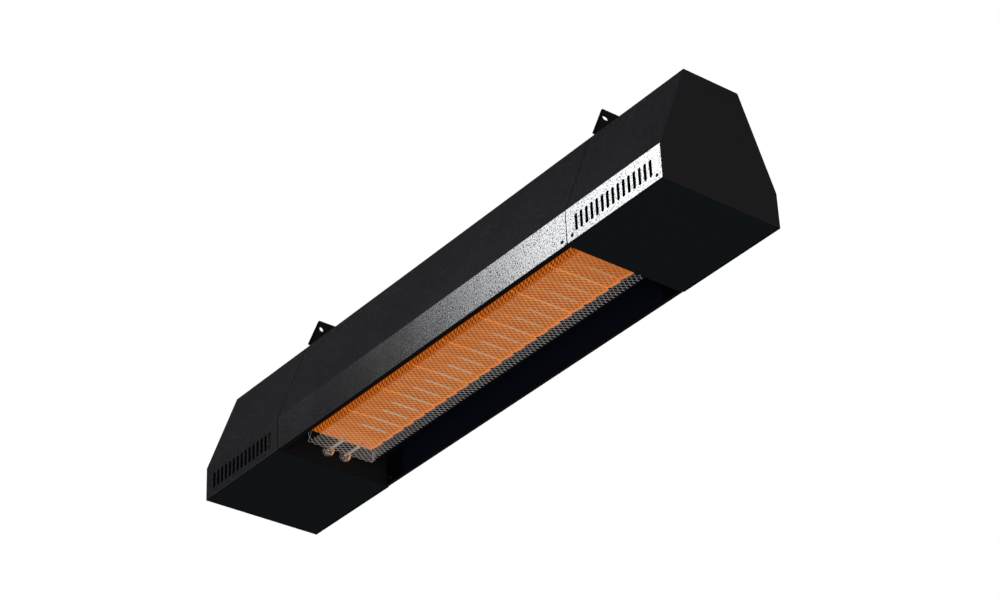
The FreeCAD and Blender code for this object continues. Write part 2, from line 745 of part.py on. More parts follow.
# Gas valve
def valve_body():
    """Block with two valve seats in a row: inlet, first seat, second seat, outlet."""
    half = VALVE_WIDTH / 2
    body = block(valve_in, valve_out, -half, half, shelf_top, valve_top)
    chamber_x = valve_out - CHAMBER_DEPTH
    tools = [bar_x(FEED_R + PIN_FIT, valve_in - OVERCUT, valve_in + PORT_DEPTH, 0, gas_z)]
    for y in (solenoid_y, -solenoid_y):
        chamber = bar_x(CHAMBER_R, chamber_x, valve_out + OVERCUT, y, gas_z)
        tools.append(cut(chamber, [bar_x(SEAT_R, chamber_x - OVERCUT, seat_x, y, gas_z)]))
    link_x = (valve_in + PORT_DEPTH + chamber_x) / 2
    side_y = (SEAT_R + CHAMBER_R) / 2 - solenoid_y
    tools.append(bar_x(SEAT_BORE_R, link_x, seat_x + OVERCUT, solenoid_y, gas_z))
    tools.append(bar_y(PASSAGE_R, link_x, side_y, solenoid_y, gas_z))
    tools.append(bar_x(PASSAGE_R / 2, link_x, chamber_x + OVERCUT, side_y, gas_z))
    port_x = valve_in + PORT_DEPTH / 2
    tools.append(bar_x(SEAT_BORE_R, port_x, seat_x + OVERCUT, -solenoid_y, gas_z))
    tools.append(bar_y(PASSAGE_R, port_x, -solenoid_y, 0, gas_z))
    tools.append(bar_z(INLET_PIPE_R + PIN_FIT, entry_x, entry_y, valve_top - INLET_SOCKET,
                       valve_top + OVERCUT))
    tools.append(bar_z(FEED_R, entry_x, entry_y, gas_z + FEED_R, valve_top))
    return cut(body, tools)


def solenoid_coil(y):
    """Wound coil round a guide tube."""
    far = coil_x + COIL_LENGTH
    coil = bar_x(COIL_R, coil_x, far, y, gas_z)
    return cut(coil, [bar_x(guide_r + SHEET_FIT, coil_x - OVERCUT, far + OVERCUT, y, gas_z)])


def guide_tube(y):
    """Closed tube that guides a plunger: flange on the valve body, bored core that stops the travel."""
    end = guide_end + GUIDE_END
    stop_x = spring_x + PLUNGER_TRAVEL + PIN_FIT
    core_r = SPRING_R + SPRING_WIRE_R + RUN_GAP
    return lathe_x([(valve_out, guide_bore_r), (valve_out, GUIDE_FLANGE_R), (coil_x, GUIDE_FLANGE_R),
                    (coil_x, guide_r), (end, guide_r), (end, 0.0), (guide_end, 0.0),
                    (guide_end, core_r), (stop_x, core_r), (stop_x, guide_bore_r)], y, gas_z)


def plunger(y):
    """Steel plunger with its seal disc against the valve seat."""
    neck = plunger_x + SEAL_THICK
    return lathe_x([(plunger_x, 0.0), (plunger_x, SEAL_R), (neck, SEAL_R), (neck, PLUNGER_R),
                    (spring_x, PLUNGER_R), (spring_x, 0.0)], y, gas_z)


def plunger_spring(y):
    """Wire spring between the plunger and the end of its guide tube, as arcs of a quarter turn."""
    start = spring_x + 2 * SPRING_WIRE_R
    length = SPRING_LENGTH - 4 * SPRING_WIRE_R

    def place(turns):
        angle = 2 * math.pi * turns
        return V(start + length * turns / SPRING_TURNS, y + SPRING_R * math.cos(angle),
                 gas_z + SPRING_R * math.sin(angle))

    quarters = [step / 4 for step in range(4 * SPRING_TURNS)]
    path = Part.Wire([Part.Arc(place(q), place(q + 0.125), place(q + 0.25)).toShape() for q in quarters])
    ring = Part.Wire(Part.Circle(place(0), path.Edges[0].tangentAt(path.Edges[0].FirstParameter),
                                 SPRING_WIRE_R).toShape())
    print("least gap between spring turns:", round(length / SPRING_TURNS - 2 * SPRING_WIRE_R, 2))
    return path.makePipeShell([ring], True, False)


def shelf(window_x, window_y):
    """Angle on the right bulkhead's outer face, with a window near the plate."""
    half = SHELF_WIDTH / 2
    top = block(bulk_out, bulk_out + SHELF_LENGTH, -half, half, shelf_top - SHELF_SHEET, shelf_top)
    leg = block(bulk_out, bulk_out + SHELF_SHEET, -half, half, shelf_top - SHELF_LEG, shelf_top)
    window = block(bulk_out + SHELF_SHEET, window_x, -window_y, window_y,
                   shelf_top - SHELF_SHEET - OVERCUT, shelf_top + OVERCUT)
    return cut(fuse(top, leg), [window])


# Gas inlet
def inlet_fitting():
    """Stepped nipple through the hood top: hexagon collar under the sheet, wide neck, pipe thread."""
    collar_z = top_inside - INLET_HEX_HEIGHT
    collar = hex_z(INLET_HEX, entry_x, entry_y, collar_z, top_inside)
    neck_top = HOOD_HEIGHT + LOCKNUT_HEIGHT + INLET_NECK_SPARE
    neck = bar_z(INLET_NECK_R, entry_x, entry_y, top_inside, neck_top)
    nipple = bar_z(INLET_THREAD_R, entry_x, entry_y, neck_top, HOOD_HEIGHT + INLET_STANDOUT)
    bore = bar_z(INLET_PIPE_R - INLET_PIPE_WALL, entry_x, entry_y, collar_z - OVERCUT,
                 HOOD_HEIGHT + INLET_STANDOUT + OVERCUT)
    socket = bar_z(INLET_PIPE_R + PIN_FIT, entry_x, entry_y, collar_z - OVERCUT, collar_z + INLET_SOCKET)
    return cut(fuse(collar, neck, nipple), [bore, socket])


def locknut(across, height, thread_r, z):
    """Hexagon nut round a thread."""
    nut = hex_z(across, entry_x, entry_y, z, z + height)
    return cut(nut, [bar_z(thread_r + THREAD_FIT, entry_x, entry_y, z - OVERCUT, z + height + OVERCUT)])


def inlet_pipe():
    """Pipe from the inlet fitting down to the valve."""
    low = valve_top - INLET_SOCKET
    high = top_inside - INLET_HEX_HEIGHT + INLET_SOCKET
    pipe = bar_z(INLET_PIPE_R, entry_x, entry_y, low, high)
    bore_r = INLET_PIPE_R - INLET_PIPE_WALL
    return cut(pipe, [bar_z(bore_r, entry_x, entry_y, low - OVERCUT, high + OVERCUT)])


# Controls, drawn at the right end and mirrored to the left
def control_box():
    """Open-topped box of the burner control."""
    half = CONTROL_WIDTH / 2
    wall = CONTROL_WALL
    outside = block(control_in, control_out, -half, half, shelf_top, control_top)
    inside = block(control_in + wall, control_out - wall, wall - half, half - wall,
                   shelf_top + wall, control_top + OVERCUT)
    return cut(outside, [inside])


def control_cover():
    """Lid of the control box, with a lip inside the walls."""
    half = CONTROL_WIDTH / 2
    lid = block(control_in, control_out, -half, half, control_top, lid_top)
    inset = CONTROL_WALL + SHEET_FIT
    lip = block(control_in + inset, control_out - inset, inset - half, half - inset,
                control_top - COVER_LIP, control_top)
    hollow = inset + CONTROL_WALL
    inside = block(control_in + hollow, control_out - hollow, hollow - half, half - hollow,
                   control_top - COVER_LIP - OVERCUT, lid_top - CONTROL_WALL)
    return cut(fuse(lid, lip), [inside])


def terminal_block():
    """Row of terminals beside the control box, with a screw well over each way."""
    x0 = control_out + TERMINAL_GAP
    half = TERMINAL_WIDTH / 2
    top = shelf_top + TERMINAL_HEIGHT
    body = block(x0, x0 + TERMINAL_LENGTH, -half, half, shelf_top, top)
    pitch = TERMINAL_WIDTH / TERMINAL_WAYS
    wells = [bar_z(TERMINAL_SCREW_R, x0 + TERMINAL_LENGTH / 2, pitch * (way + 0.5) - half,
                   top - TERMINAL_HEIGHT / 2, top + OVERCUT) for way in range(TERMINAL_WAYS)]
    return cut(body, wells)


def cable_gland():
    """Gland in the hood top: hexagon and domed nut above, thread below."""
    hex_top = HOOD_HEIGHT + GLAND_HEX_HEIGHT
    dome_top = hex_top + GLAND_DOME_HEIGHT
    body = hex_z(GLAND_HEX, entry_x, entry_y, HOOD_HEIGHT, hex_top)
    dome = Part.makeCone(GLAND_DOME_R, GLAND_MOUTH_R, GLAND_DOME_HEIGHT, V(entry_x, entry_y, hex_top))
    tail = bar_z(GLAND_THREAD_R, entry_x, entry_y, top_inside - GLAND_TAIL, HOOD_HEIGHT)
    bore = bar_z(GLAND_BORE_R, entry_x, entry_y, top_inside - GLAND_TAIL - OVERCUT, dome_top + OVERCUT)
    return cut(fuse(body, dome, tail), [bore])


def insulator(y):
    """Ceramic insulator: straight tail through the bulkhead, round bulb, slim sleeve."""
    bore = ELECTRODE_R + PIN_FIT
    tail = seam_x + INSULATOR_TAIL
    belly = seam_x - BULB_BELLY
    nose = seam_x - BULB_LENGTH
    return lathe_x([(tail, bore), (tail, INSULATOR_R), (seam_x, INSULATOR_R), (seam_x, BULB_BASE_R),
                    ((belly, BULB_R), (nose, SLEEVE_R)),
                    (seam_x - SLEEVE_END, SLEEVE_R), (seam_x - SLEEVE_END, bore)], y, electrode_z)


def electrode_rod(y):
    """Metal rod through an insulator, bare at its tip."""
    return bar_x(ELECTRODE_R, seam_x - ELECTRODE_TIP, seam_x + INSULATOR_TAIL, y, electrode_z)


def electrode_bracket():
    """Plate on the bulkhead's outer face that the insulators pass through."""
    half = ELECTRODE_PLATE_WIDTH / 2
    plate = block(bulk_out, bulk_out + ELECTRODE_PLATE, -half, half,
                  electrode_z - ELECTRODE_PLATE_FOOT, electrode_z + ELECTRODE_PLATE_HEAD)
    return cut(plate, electrode_holes(bulk_out - OVERCUT, bulk_out + ELECTRODE_PLATE + OVERCUT))


def electrode_lead(y):
    """Lead from an insulator's tail up through the shelf window to the control box."""
    tail = seam_x + INSULATOR_TAIL
    rise_x = (tail + control_in) / 2
    high = shelf_top + LEAD_RISE
    return round_run([V(tail, y, electrode_z), V(rise_x, y, electrode_z), V(rise_x, y, high),
                      V(control_in, y, high)], LEAD_R, LEAD_BEND)


def valve_cable():
    """Cable from the control box over the burner to the valve's second coil."""
    start_x = -(control_in + control_out) / 2
    end_x = coil_x + COIL_LENGTH / 2
    return round_run([V(start_x, cable_y, lid_top), V(start_x, cable_y, cable_z),
                      V(end_x, cable_y, cable_z), V(end_x, cable_y, gas_z + COIL_R)], CABLE_R, CABLE_BEND)


# Heat shield and insulation
def shield_half():
    """Half the heat shield's width, a fixed gap inside the leaning hood wall at its upper edge."""
    return hood_half(shield_z + SHIELD_EDGE) - SHEET / math.cos(lean) - SHIELD_GAP


def heat_shield():
    """Tray of bright sheet over the burner box, its edges turned up."""
    half = shield_half()
    edge = shield_z + SHIELD_EDGE
    path = [(half, edge), (half, shield_z), (-half, shield_z), (-half, edge)]
    return folded(path, SHIELD_SHEET, BEND, SHEET_FIT - seam_x, seam_x - SHEET_FIT)


def insulation_blanket():
    """Mineral-fibre mat lying in the heat shield."""
    half = shield_half() - SHIELD_SHEET - BLANKET_GAP
    length = seam_x - BLANKET_GAP
    return block(-length, length, -half, half, shield_z + SHIELD_SHEET, blanket_top)


def nodes():
    """Every piece under its name."""
    pieces = {"middle_hood": middle_hood(),
              "left_end_hood": mirrored(end_hood(GLAND_THREAD_R + ENTRY_HOLE_FIT)),
              "right_end_hood": end_hood(INLET_NECK_R + ENTRY_HOLE_FIT),
              "left_end_cap": mirrored(end_cap()),
              "right_end_cap": end_cap(),
              "left_bulkhead": left_bulkhead(),
              "right_bulkhead": right_bulkhead(),
              "left_bottom_pan": mirrored(bottom_pan()),
              "right_bottom_pan": bottom_pan()}
    hood_places = both_sides([seam_x - HOOD_SCREW_INSET])
    pan_places = both_sides([seam_x + PAN_SCREW_INSET, half_length - CAP_SCREW_INSET])
    pieces["hood_screws"] = Part.makeCompound([screw(x, side) for x in hood_places for side in (-1, 1)])
    pieces["pan_screws"] = Part.makeCompound([screw(x, side) for x in pan_places for side in (-1, 1)])
    pieces["casing_nuts"] = Part.makeCompound([screw_nut(x, side) for x in hood_places + pan_places
                                               for side in (-1, 1)])
    for index in range(PLAQUE_COUNT):
        pieces["ceramic_plaque_%d" % (index + 1)] = plaque(index)
    pieces["plaque_gasket"] = plaque_gasket()
    pieces["burner_tray"] = burner_tray()
    pieces["plenum_cover"] = plenum_cover()
    pieces["left_burner_bracket"] = mirrored(burner_bracket())
    pieces["right_burner_bracket"] = burner_bracket()
    pieces["guard_mesh"] = guard_mesh()
    pieces["venturi_tube"] = venturi_tube()
    pieces["injector"] = injector()
    pieces["injector_bracket"] = injector_bracket()
    pieces["gas_feed_pipe"] = gas_feed_pipe()
    pieces["valve_body"] = valve_body()
    for number, y in ((1, solenoid_y), (2, -solenoid_y)):
        pieces["solenoid_coil_%d" % number] = solenoid_coil(y)
        pieces["guide_tube_%d" % number] = guide_tube(y)
        pieces["plunger_%d" % number] = plunger(y)
        pieces["plunger_spring_%d" % number] = plunger_spring(y)
    pieces["valve_shelf"] = shelf(bell_x + SHELF_WINDOW, BELL_R + SHELF_WINDOW)
    pieces["gas_inlet_fitting"] = inlet_fitting()
    pieces["inlet_locknut"] = locknut(LOCKNUT_HEX, LOCKNUT_HEIGHT, INLET_NECK_R, HOOD_HEIGHT)
    pieces["inlet_pipe"] = inlet_pipe()
    pieces["control_shelf"] = mirrored(shelf(control_in, electrode_y + LEAD_R + SHELF_WINDOW))
    pieces["control_box"] = mirrored(control_box())
    pieces["control_box_cover"] = mirrored(control_cover())
    pieces["terminal_block"] = mirrored(terminal_block())
    pieces["cable_gland"] = mirrored(cable_gland())
    pieces["gland_locknut"] = mirrored(locknut(GLAND_NUT_HEX, GLAND_NUT_HEIGHT, GLAND_THREAD_R,
                                               top_inside - GLAND_NUT_HEIGHT))
    pieces["electrode_bracket"] = mirrored(electrode_bracket())
    for name, y in (("spark", electrode_y), ("sensor", -electrode_y)):
        pieces[name + "_insulator"] = mirrored(insulator(y))
        pieces[name + "_electrode"] = mirrored(electrode_rod(y))
        pieces[name + "_lead"] = mirrored(electrode_lead(y))
    pieces["valve_cable"] = valve_cable()
    pieces["heat_shield"] = heat_shield()
    pieces["insulation_blanket"] = insulation_blanket()
    return pieces


os.makedirs("parts", exist_ok=True)
for name, shape in nodes().items():
    shape.exportStep("parts/%s.step" % name)
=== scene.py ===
"""Looks of a gas infrared heater that hangs from a ceiling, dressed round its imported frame.

Metres, +X along the hood towards the gas end, front at -Y, +Z up. The middle of the hood's
bottom edge is the origin.
"""
import json
import math

import bmesh
import bpy
import numpy as np
from mathutils import Matrix, Vector


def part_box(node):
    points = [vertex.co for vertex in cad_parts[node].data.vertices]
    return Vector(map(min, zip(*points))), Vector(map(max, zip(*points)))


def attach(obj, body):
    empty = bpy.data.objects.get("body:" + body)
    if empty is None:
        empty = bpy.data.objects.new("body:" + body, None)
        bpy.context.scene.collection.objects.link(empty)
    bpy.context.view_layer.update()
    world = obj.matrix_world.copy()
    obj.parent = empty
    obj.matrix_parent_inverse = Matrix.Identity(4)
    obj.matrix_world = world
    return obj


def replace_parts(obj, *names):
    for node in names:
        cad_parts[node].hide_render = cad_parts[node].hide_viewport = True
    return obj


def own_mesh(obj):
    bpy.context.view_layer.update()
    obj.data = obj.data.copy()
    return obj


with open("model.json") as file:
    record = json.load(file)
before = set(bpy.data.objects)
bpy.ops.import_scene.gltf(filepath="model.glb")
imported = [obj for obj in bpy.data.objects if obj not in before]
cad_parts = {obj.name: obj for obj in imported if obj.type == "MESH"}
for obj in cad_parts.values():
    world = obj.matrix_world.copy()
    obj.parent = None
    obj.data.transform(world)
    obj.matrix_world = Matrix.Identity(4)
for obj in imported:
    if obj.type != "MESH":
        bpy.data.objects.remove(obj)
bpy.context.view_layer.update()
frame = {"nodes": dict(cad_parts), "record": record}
nodes = frame["nodes"]

# Sizes read from the frame
guard_low, guard_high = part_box("guard_mesh")
hood_low, hood_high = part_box("middle_hood")
tile_low, tile_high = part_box("ceramic_plaque_1")
hood_screw_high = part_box("hood_screws")[1]
pan_screw_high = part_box("pan_screws")[1]
right_hood_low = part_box("right_end_hood")[0]
cap_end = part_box("right_end_cap")[1].x
gland_low, gland_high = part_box("cable_gland")
inlet_low, inlet_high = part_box("gas_inlet_fitting")
inlet_nut_low, inlet_nut_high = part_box("inlet_locknut")
blanket_low, blanket_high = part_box("insulation_blanket")
bulb_low, bulb_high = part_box("spark_insulator")

# Meshes: points closer than WELD are merged, edges shorter than THIN are dropped
WELD = 1e-6
THIN = 1e-7

# Expanded metal of the guard: its section, its net, the lines where heat has tinted it,
# and where its walls are painted dark as painted shade
SHEET = 0.001
BEND = 0.004
CELL_LENGTH = 0.0088
CELL_WIDTH = 0.0138
STRAND = 0.0009
STRAND_THICK = 0.0004
WALL_STRAND = 1.5
BEND_STRAND = 0.85
WALL_START = 0.003
BOND = 0.0016
BOND_LAP = 0.00005
STRAND_TILT = math.radians(20)
HEAT_REAR = 0.042
HEAT_FRONT = -0.0665
HEAT_FRONT_SOFT = 0.002
HEAT_LEFT = -0.322
HEAT_LEFT_SOFT = 0.014
SOOT_SOFT = 0.02
WARM_LEFT = -0.347
# Left end of the near-black painted shade on the upright walls
WALL_SHADE_LEFT = -0.372
TINT_SOFT = 0.006
bend_r = BEND - SHEET / 2
bend_run = bend_r * math.pi / 2
guard_flat = guard_high.y - SHEET / 2 - bend_r

# Hood section and its paint
HOOD_EDGE = 0.121
HOOD_BEND_Z = 0.065
HOOD_TOP_Z = 0.232
HOOD_LEAN = 0.3802
HOOD_FOLD_Z = 0.003
HOOD_SHEET = 0.0012
SKIN_DEEP = 0.0007
SEAM_DEEP = 0.007
RIM_SKIN = 0.0002
PAINT_GRAIN = 330.0
PAINT_CLOUD = 6.0
BEAD_DEPTH = 0.00012
INNER_ROUGH = 0.95
PIT_ROUGH = 0.12
PIT_COLOUR = (0.003, 0.003, 0.0033)
# Painted shade under the hood's bottom lips
LIP_PAINTED_SHADE = (0.004, 0.0042, 0.0055)
END_PITS = 0.82
STRIP_FLECKS = 0.5

# Casing screws
SCREW_HEAD_R = 0.0032
SCREW_HEAD_H = 0.002
SCREW_SHANK_R = 0.00175
SCREW_LENGTH = 0.009
SCREW_SIDES = 64
DOME_RINGS = 6
CROSS_ARM = 0.0019
CROSS_HALF = 0.00042
CROSS_DEPTH = 0.0011
CROSS_TAPER = 0.8
SCREW_Z = 0.0119
SEAM_SCREW = 0.0124

# Cable gland: the nut's rings are radius, height over the hexagon, and if they are fluted;
# the mouth's are radius over the bore and depth under the rim
GLAND_SIDES = 96
GLAND_BORE_R = 0.0045
GLAND_THREAD_R = 0.010
GLAND_HEX = 0.024
GLAND_HEX_H = 0.008
GLAND_CONE_R = 0.0128
GLAND_CONE_H = 0.0008
GLAND_RIM_R = 0.0062
GLAND_NUT = ((0.0112, 0.0, False), (0.0115, 0.001, False), (0.0115, 0.002, True),
             (0.0113, 0.011, True), (0.0108, 0.0125, False), (0.0094, 0.0165, False),
             (0.0078, 0.019, False))
GLAND_MOUTH = ((0.0006, 0.0002), (0.0, 0.001))
FLUTES = 16
FLUTE_DEPTH = 0.05
FLUTE_FLOOR = -0.2

# Gas inlet and its locknut
INLET_SIDES = 72
INLET_BORE_R = 0.0065
INLET_NECK_R = 0.012
INLET_NECK_PROUD = 0.001
INLET_HEX = 0.030
INLET_CONE_R = 0.0159
INLET_FOOT_CONE = 0.001
INLET_HEAD_CONE = 0.0008
INLET_MOUTH = 0.0006
THREAD_R = 0.0105
THREAD_PITCH = 0.0018
THREAD_DEPTH = 0.0011
THREAD_STEPS = 96
THREAD_ROOT_R = 0.0093
THREAD_TIP_R = 0.0091
THREAD_FOOT = 0.0015
THREAD_HEAD = 0.0012
NUT_SIDES = 96
NUT_BORE_R = 0.0121
NUT_HEX = 0.034
NUT_CONE_R = 0.0176
NUT_CONE_H = 0.0009
NUT_MOUTH = 0.0008

# Plaque field: where its patterns lie, how soft they end, and their colours
TILE_LENGTH = 0.092
TILE_JOINT = 0.0014
TILE_RIBS = 3
GLOW_CLOUD = 16.0
HOLE_PITCH_X = 0.0021
HOLE_PITCH_Y = 0.0024
HOLE_DEPTH = 0.0004
LEAN_SPAN = (-0.05, 0.005)
LEAN_FRONT = 0.003
LEAN_REAR = 0.0057
INNER_START = 0.035
INNER_FULL = 0.05
JOINT_SPAN = (0.0017, 0.0005)
# Pale streaks along the groove lines are painted highlights; these rows place them and fade them
# to the right
STREAK_REAR = (0.054, 0.044)
STREAK_FRONT = (-0.014, -0.002)
STREAK_HALF = 0.0015
STREAK_SOFT = (-0.0005, 0.0003)
FADE_SPAN = (0.36, -0.25)
FADE_RIGHT = 0.62
FRONT_SPAN = (-0.045, -0.052)
RIM_COVER = 0.0006
RIM_SLANT = 0.0036
RIM_NOTCH = 0.0046
RIM_CLEFT = 1.3
RIM_WIDTH = 0.005
RIM_SOFT = 0.003
NOTCH_SOFT = 0.0003
# Where the tray's lip carries the burner's glow, a painted glow
LIP_FRONT = -0.0670
LIP_END = 0.3714
LIP_SOFT = 0.0004
LIP_SKIN = 0.0003
GLOW_FIELD = (0.47, 0.086, 0.0016)
GLOW_DIM = (0.42, 0.073, 0.0013)
GLOW_HOLE = (0.3, 0.045, 0.001)
# Paler tint towards the right end of each rib, a painted shading of the rib
RIB_SHADING_COLOUR = (0.6, 0.17, 0.02)
GLOW_FRONT = (0.52, 0.12, 0.012)
GLOW_LEFT = (0.52, 0.12, 0.007)
GLOW_RIM = (0.78, 0.145, 0.003)
GLOW_JOINT = (1.0, 0.24, 0.012)
# Colour of the pale streaks, a painted highlight
STREAK_HIGHLIGHT_COLOUR = (0.39, 0.375, 0.335)
GLOW_NOTCH = (0.02, 0.008, 0.003)
HOLE_SHADE = 0.3
# How strongly the painted rib shading is mixed in
RIB_SHADING_SHARE = 0.35
EDGE_TINT = 0.8

# Electrode insulators
BULB_SIDES = 48
BULB_RINGS = 40
BULB_LENGTH = 0.018
BULB_BALL_R = 0.01083
BULB_BALL_X = 0.00753
BULB_BALL_LIFT = 0.00022
# Direction and reach of the burner's glow painted on each ball as a painted reflection
CHEEK = Vector((0.45, 0.8, -0.4)).normalized()
CHEEK_START = 0.62
CHEEK_FULL = 0.9
TAIL_R = 0.006
SLEEVE_R = 0.003
SLEEVE_BORE = 0.0014
SLEEVE_MOUTH = 0.0005
SLEEVE_SOFT = 0.0005

# Valve springs
SPRING_FOOT = 0.5401
SPRING_HEAD = 0.5591
SPRING_R = 0.0036
SPRING_WIRE_R = 0.0004
SPRING_TURNS = 8
SPRING_STEPS = 24
SPRING_SIDES = 8

# Blanket: powers of its outline, and the waves of its top
BLANKET_STEPS = 241
BLANKET_SIDES = 96
BLANKET_EDGE = 9.0
BLANKET_END = 60.0
BLANKET_TUCK = 0.02
BLANKET_CORNER = 0.25
BLANKET_SAG = 0.0022
WAVE_LONG = 0.047
WAVE_START = 1.3
WAVE_BROAD = 0.021
WAVE_SHORT = 0.019
WAVE_SLANT = 0.03

# Camera and room
CAMERA_AZIMUTH = math.radians(50.27587)
CAMERA_ELEVATION = math.radians(-31.91885)
CAMERA_ROLL = math.radians(-2.67666)
CAMERA_ASIDE = 0.04732
CAMERA_LIFT = 0.12529
CAMERA_DISTANCE = 4.56283
CAMERA_LENS = 98.007
CAMERA_SENSOR = 36.0
FLOOR_Z = -2.75
FLOOR_HALF = 30.0
CEILING_Z = 3.4
CEILING_HALF = 9.0
SKY_FILL = 0.35

# Kinds of shader socket
VECTOR, FLOAT, COLOUR = "NodeSocketVector", "NodeSocketFloat", "NodeSocketColor"


# Mesh helpers
def full_turn(count):
    """Evenly spread angles of a full turn."""
    return np.linspace(0, 2 * math.pi, count, endpoint=False)


def grid_faces(rows, columns):
    """Four-cornered faces of a grid of points, row by row, joined round its columns."""
    row = np.arange(rows - 1)[:, None] * columns
    column = np.arange(columns)
    after = (column + 1) % columns
    corners = [row + column, row + after, row + columns + after, row + columns + column]
    return np.stack(corners, -1).reshape(-1, 4)


def copies(points, faces, places):
    """One shape set down at several places: points (n, 3), places (m, 3)."""
    count = len(points)
    moved = (np.asarray(places)[:, None, :] + points[None]).reshape(-1, 3)
    steps = (np.arange(len(places)) * count)[:, None, None]
    return moved, (faces[None] + steps).reshape(-1, faces.shape[1])


def new_object(name, data):
    """An object at the origin, linked into the scene."""
    made = bpy.data.objects.new(name, data)
    bpy.context.scene.collection.objects.link(made)
    return made


def piece(name, points, faces, slot, smooth=True):
    """A closed mesh with merged seams and outward faces, in its slot's finish, on the casing."""
    mesh = bpy.data.meshes.new(name)
    mesh.from_pydata(np.asarray(points, float).reshape(-1, 3).tolist(), [],
                     np.asarray(faces).tolist())
    shell = bmesh.new()
    shell.from_mesh(mesh)
    bmesh.ops.remove_doubles(shell, verts=shell.verts, dist=WELD)
    bmesh.ops.dissolve_degenerate(shell, edges=shell.edges, dist=THIN)
    bmesh.ops.recalc_face_normals(shell, faces=shell.faces)
    shell.to_mesh(mesh)
    shell.free()
    mesh.polygons.foreach_set("use_smooth", np.full(len(mesh.polygons), smooth))
    mesh.materials.append(finish[slot])
    made = new_object(name, mesh)
    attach(made, "casing")
    return made


def sharp_edges(made, degrees):
    """Keeps edges that turn by more than an angle crisp on a smooth piece."""
    made.data.set_sharp_from_angle(angle=math.radians(degrees))
    return made


# Shader helpers
def put(socket, value):
    """A number set on a socket, or another node's result linked to it."""
    if isinstance(value, bpy.types.NodeSocket):
        socket.id_data.links.new(value, socket)
    else:
        socket.default_value = value


def settle(made, **values):
    """Numbers or results put on a node's own sockets, where _ stands for a space."""
    for label, value in values.items():
        put(made.inputs[label.replace("_", " ")], value)


def add(tree, kind, inputs=None, **settings):
    """A shader node with its settings, and with numbers or results on its inputs."""
    made = tree.nodes.new(kind)
    for key, value in settings.items():
        setattr(made, key, value)
    for key, value in (inputs or {}).items():
        put(made.inputs[key], value)
    return made


def split(tree, place):
    """The three coordinates of a place."""
    return add(tree, "ShaderNodeSeparateXYZ", {0: place}).outputs


def maths(tree, operation, first, second=0.5, third=0.5):
    """One arithmetic step."""
    made = add(tree, "ShaderNodeMath", {0: first, 1: second, 2: third}, operation=operation)
    return made.outputs[0]


def product(tree, first, *others):
    """Several values multiplied."""
    for other in others:
        first = maths(tree, "MULTIPLY", first, other)
    return first


def ramp(tree, value, low, high, to_low=0.0, to_high=1.0):
    """A smooth step of a value from one level to another."""
    made = add(tree, "ShaderNodeMapRange", {"Value": value, "From Min": low, "From Max": high,
                                            "To Min": to_low, "To Max": to_high},
               interpolation_type="SMOOTHSTEP")
    return made.outputs[0]


def mix(tree, share, first, second):
    """A colour between two colours."""
    made = add(tree, "ShaderNodeMix", {0: share}, data_type="RGBA")
    for place, colour in ((6, first), (7, second)):
        put(made.inputs[place], (*colour, 1.0) if isinstance(colour, tuple) else colour)
    return made.outputs[2]


def line_distance(tree, along, step):
    """Distance to the nearest of the lines that repeat by a step."""
    turn = maths(tree, "DIVIDE", along, step)
    off = maths(tree, "SUBTRACT", turn, maths(tree, "ROUND", turn))
    return product(tree, maths(tree, "ABSOLUTE", off), step)


def bump(tree, shader, height, depth):
    """Relief of a given depth in metres on the shader's normal."""
    made = add(tree, "ShaderNodeBump", {"Height": height, "Distance": depth, "Strength": 1.0})
    settle(shader, Normal=made.outputs["Normal"])


# Shared patterns
def new_group(name, inputs, outputs):
    """An empty shader node group with named sockets: its tree, its given values, its output."""
    tree = bpy.data.node_groups.new(name, "ShaderNodeTree")
    for way, sockets in (("INPUT", inputs), ("OUTPUT", outputs)):
        for label, kind in sockets.items():
            tree.interface.new_socket(label, in_out=way, socket_type=kind)
    return tree, tree.nodes.new("NodeGroupInput").outputs, tree.nodes.new("NodeGroupOutput")


def hammered_group():
    """Powder coat run into wavy beads: bead height, flecks on high beads, pits between them."""
    tree, given, result = new_group("hammered_grain", {"Place": VECTOR, "Fineness": FLOAT},
                                    {"Height": FLOAT, "Fleck": FLOAT, "Pit": FLOAT})
    bead = add(tree, "ShaderNodeTexNoise", {"Vector": given["Place"], "Scale": given["Fineness"],
                                            "Detail": 1.5, "Roughness": 0.5, "Distortion": 0.7})
    height = bead.outputs["Fac"]
    settle(result, Height=height, Fleck=ramp(tree, height, 0.6, 0.72),
           Pit=ramp(tree, height, 0.455, 0.375))
    return tree


def patches_group():
    """Slow cloudy variation, as of handling, soot and uneven coating, and fine specks."""
    tree, given, result = new_group("cloudy_patches", {"Place": VECTOR, "Fineness": FLOAT},
                                    {"Patch": FLOAT, "Speck": FLOAT})
    place, fine = given["Place"], given["Fineness"]
    cloud = add(tree, "ShaderNodeTexNoise", {"Vector": place, "Scale": fine, "Detail": 4.0,
                                             "Roughness": 0.6})
    dots = add(tree, "ShaderNodeTexNoise", {"Vector": place, "Scale": product(tree, fine, 30.0),
                                            "Detail": 1.0})
    settle(result, Patch=ramp(tree, cloud.outputs["Fac"], 0.32, 0.7),
           Speck=ramp(tree, dots.outputs["Fac"], 0.6, 0.72))
    return tree


def brushed_group():
    """Fine rolled lines along X, as on sheet and drawn metal."""
    tree, given, result = new_group("rolled_lines", {"Place": VECTOR, "Fineness": FLOAT},
                                    {"Line": FLOAT})
    stretched = add(tree, "ShaderNodeVectorMath", {0: given["Place"], 1: (0.03, 1.0, 1.0)},
                    operation="MULTIPLY")
    lines = add(tree, "ShaderNodeTexNoise", {"Vector": stretched.outputs[0],
                                             "Scale": given["Fineness"], "Detail": 3.0,
                                             "Roughness": 0.7})
    settle(result, Line=lines.outputs["Fac"])
    return tree


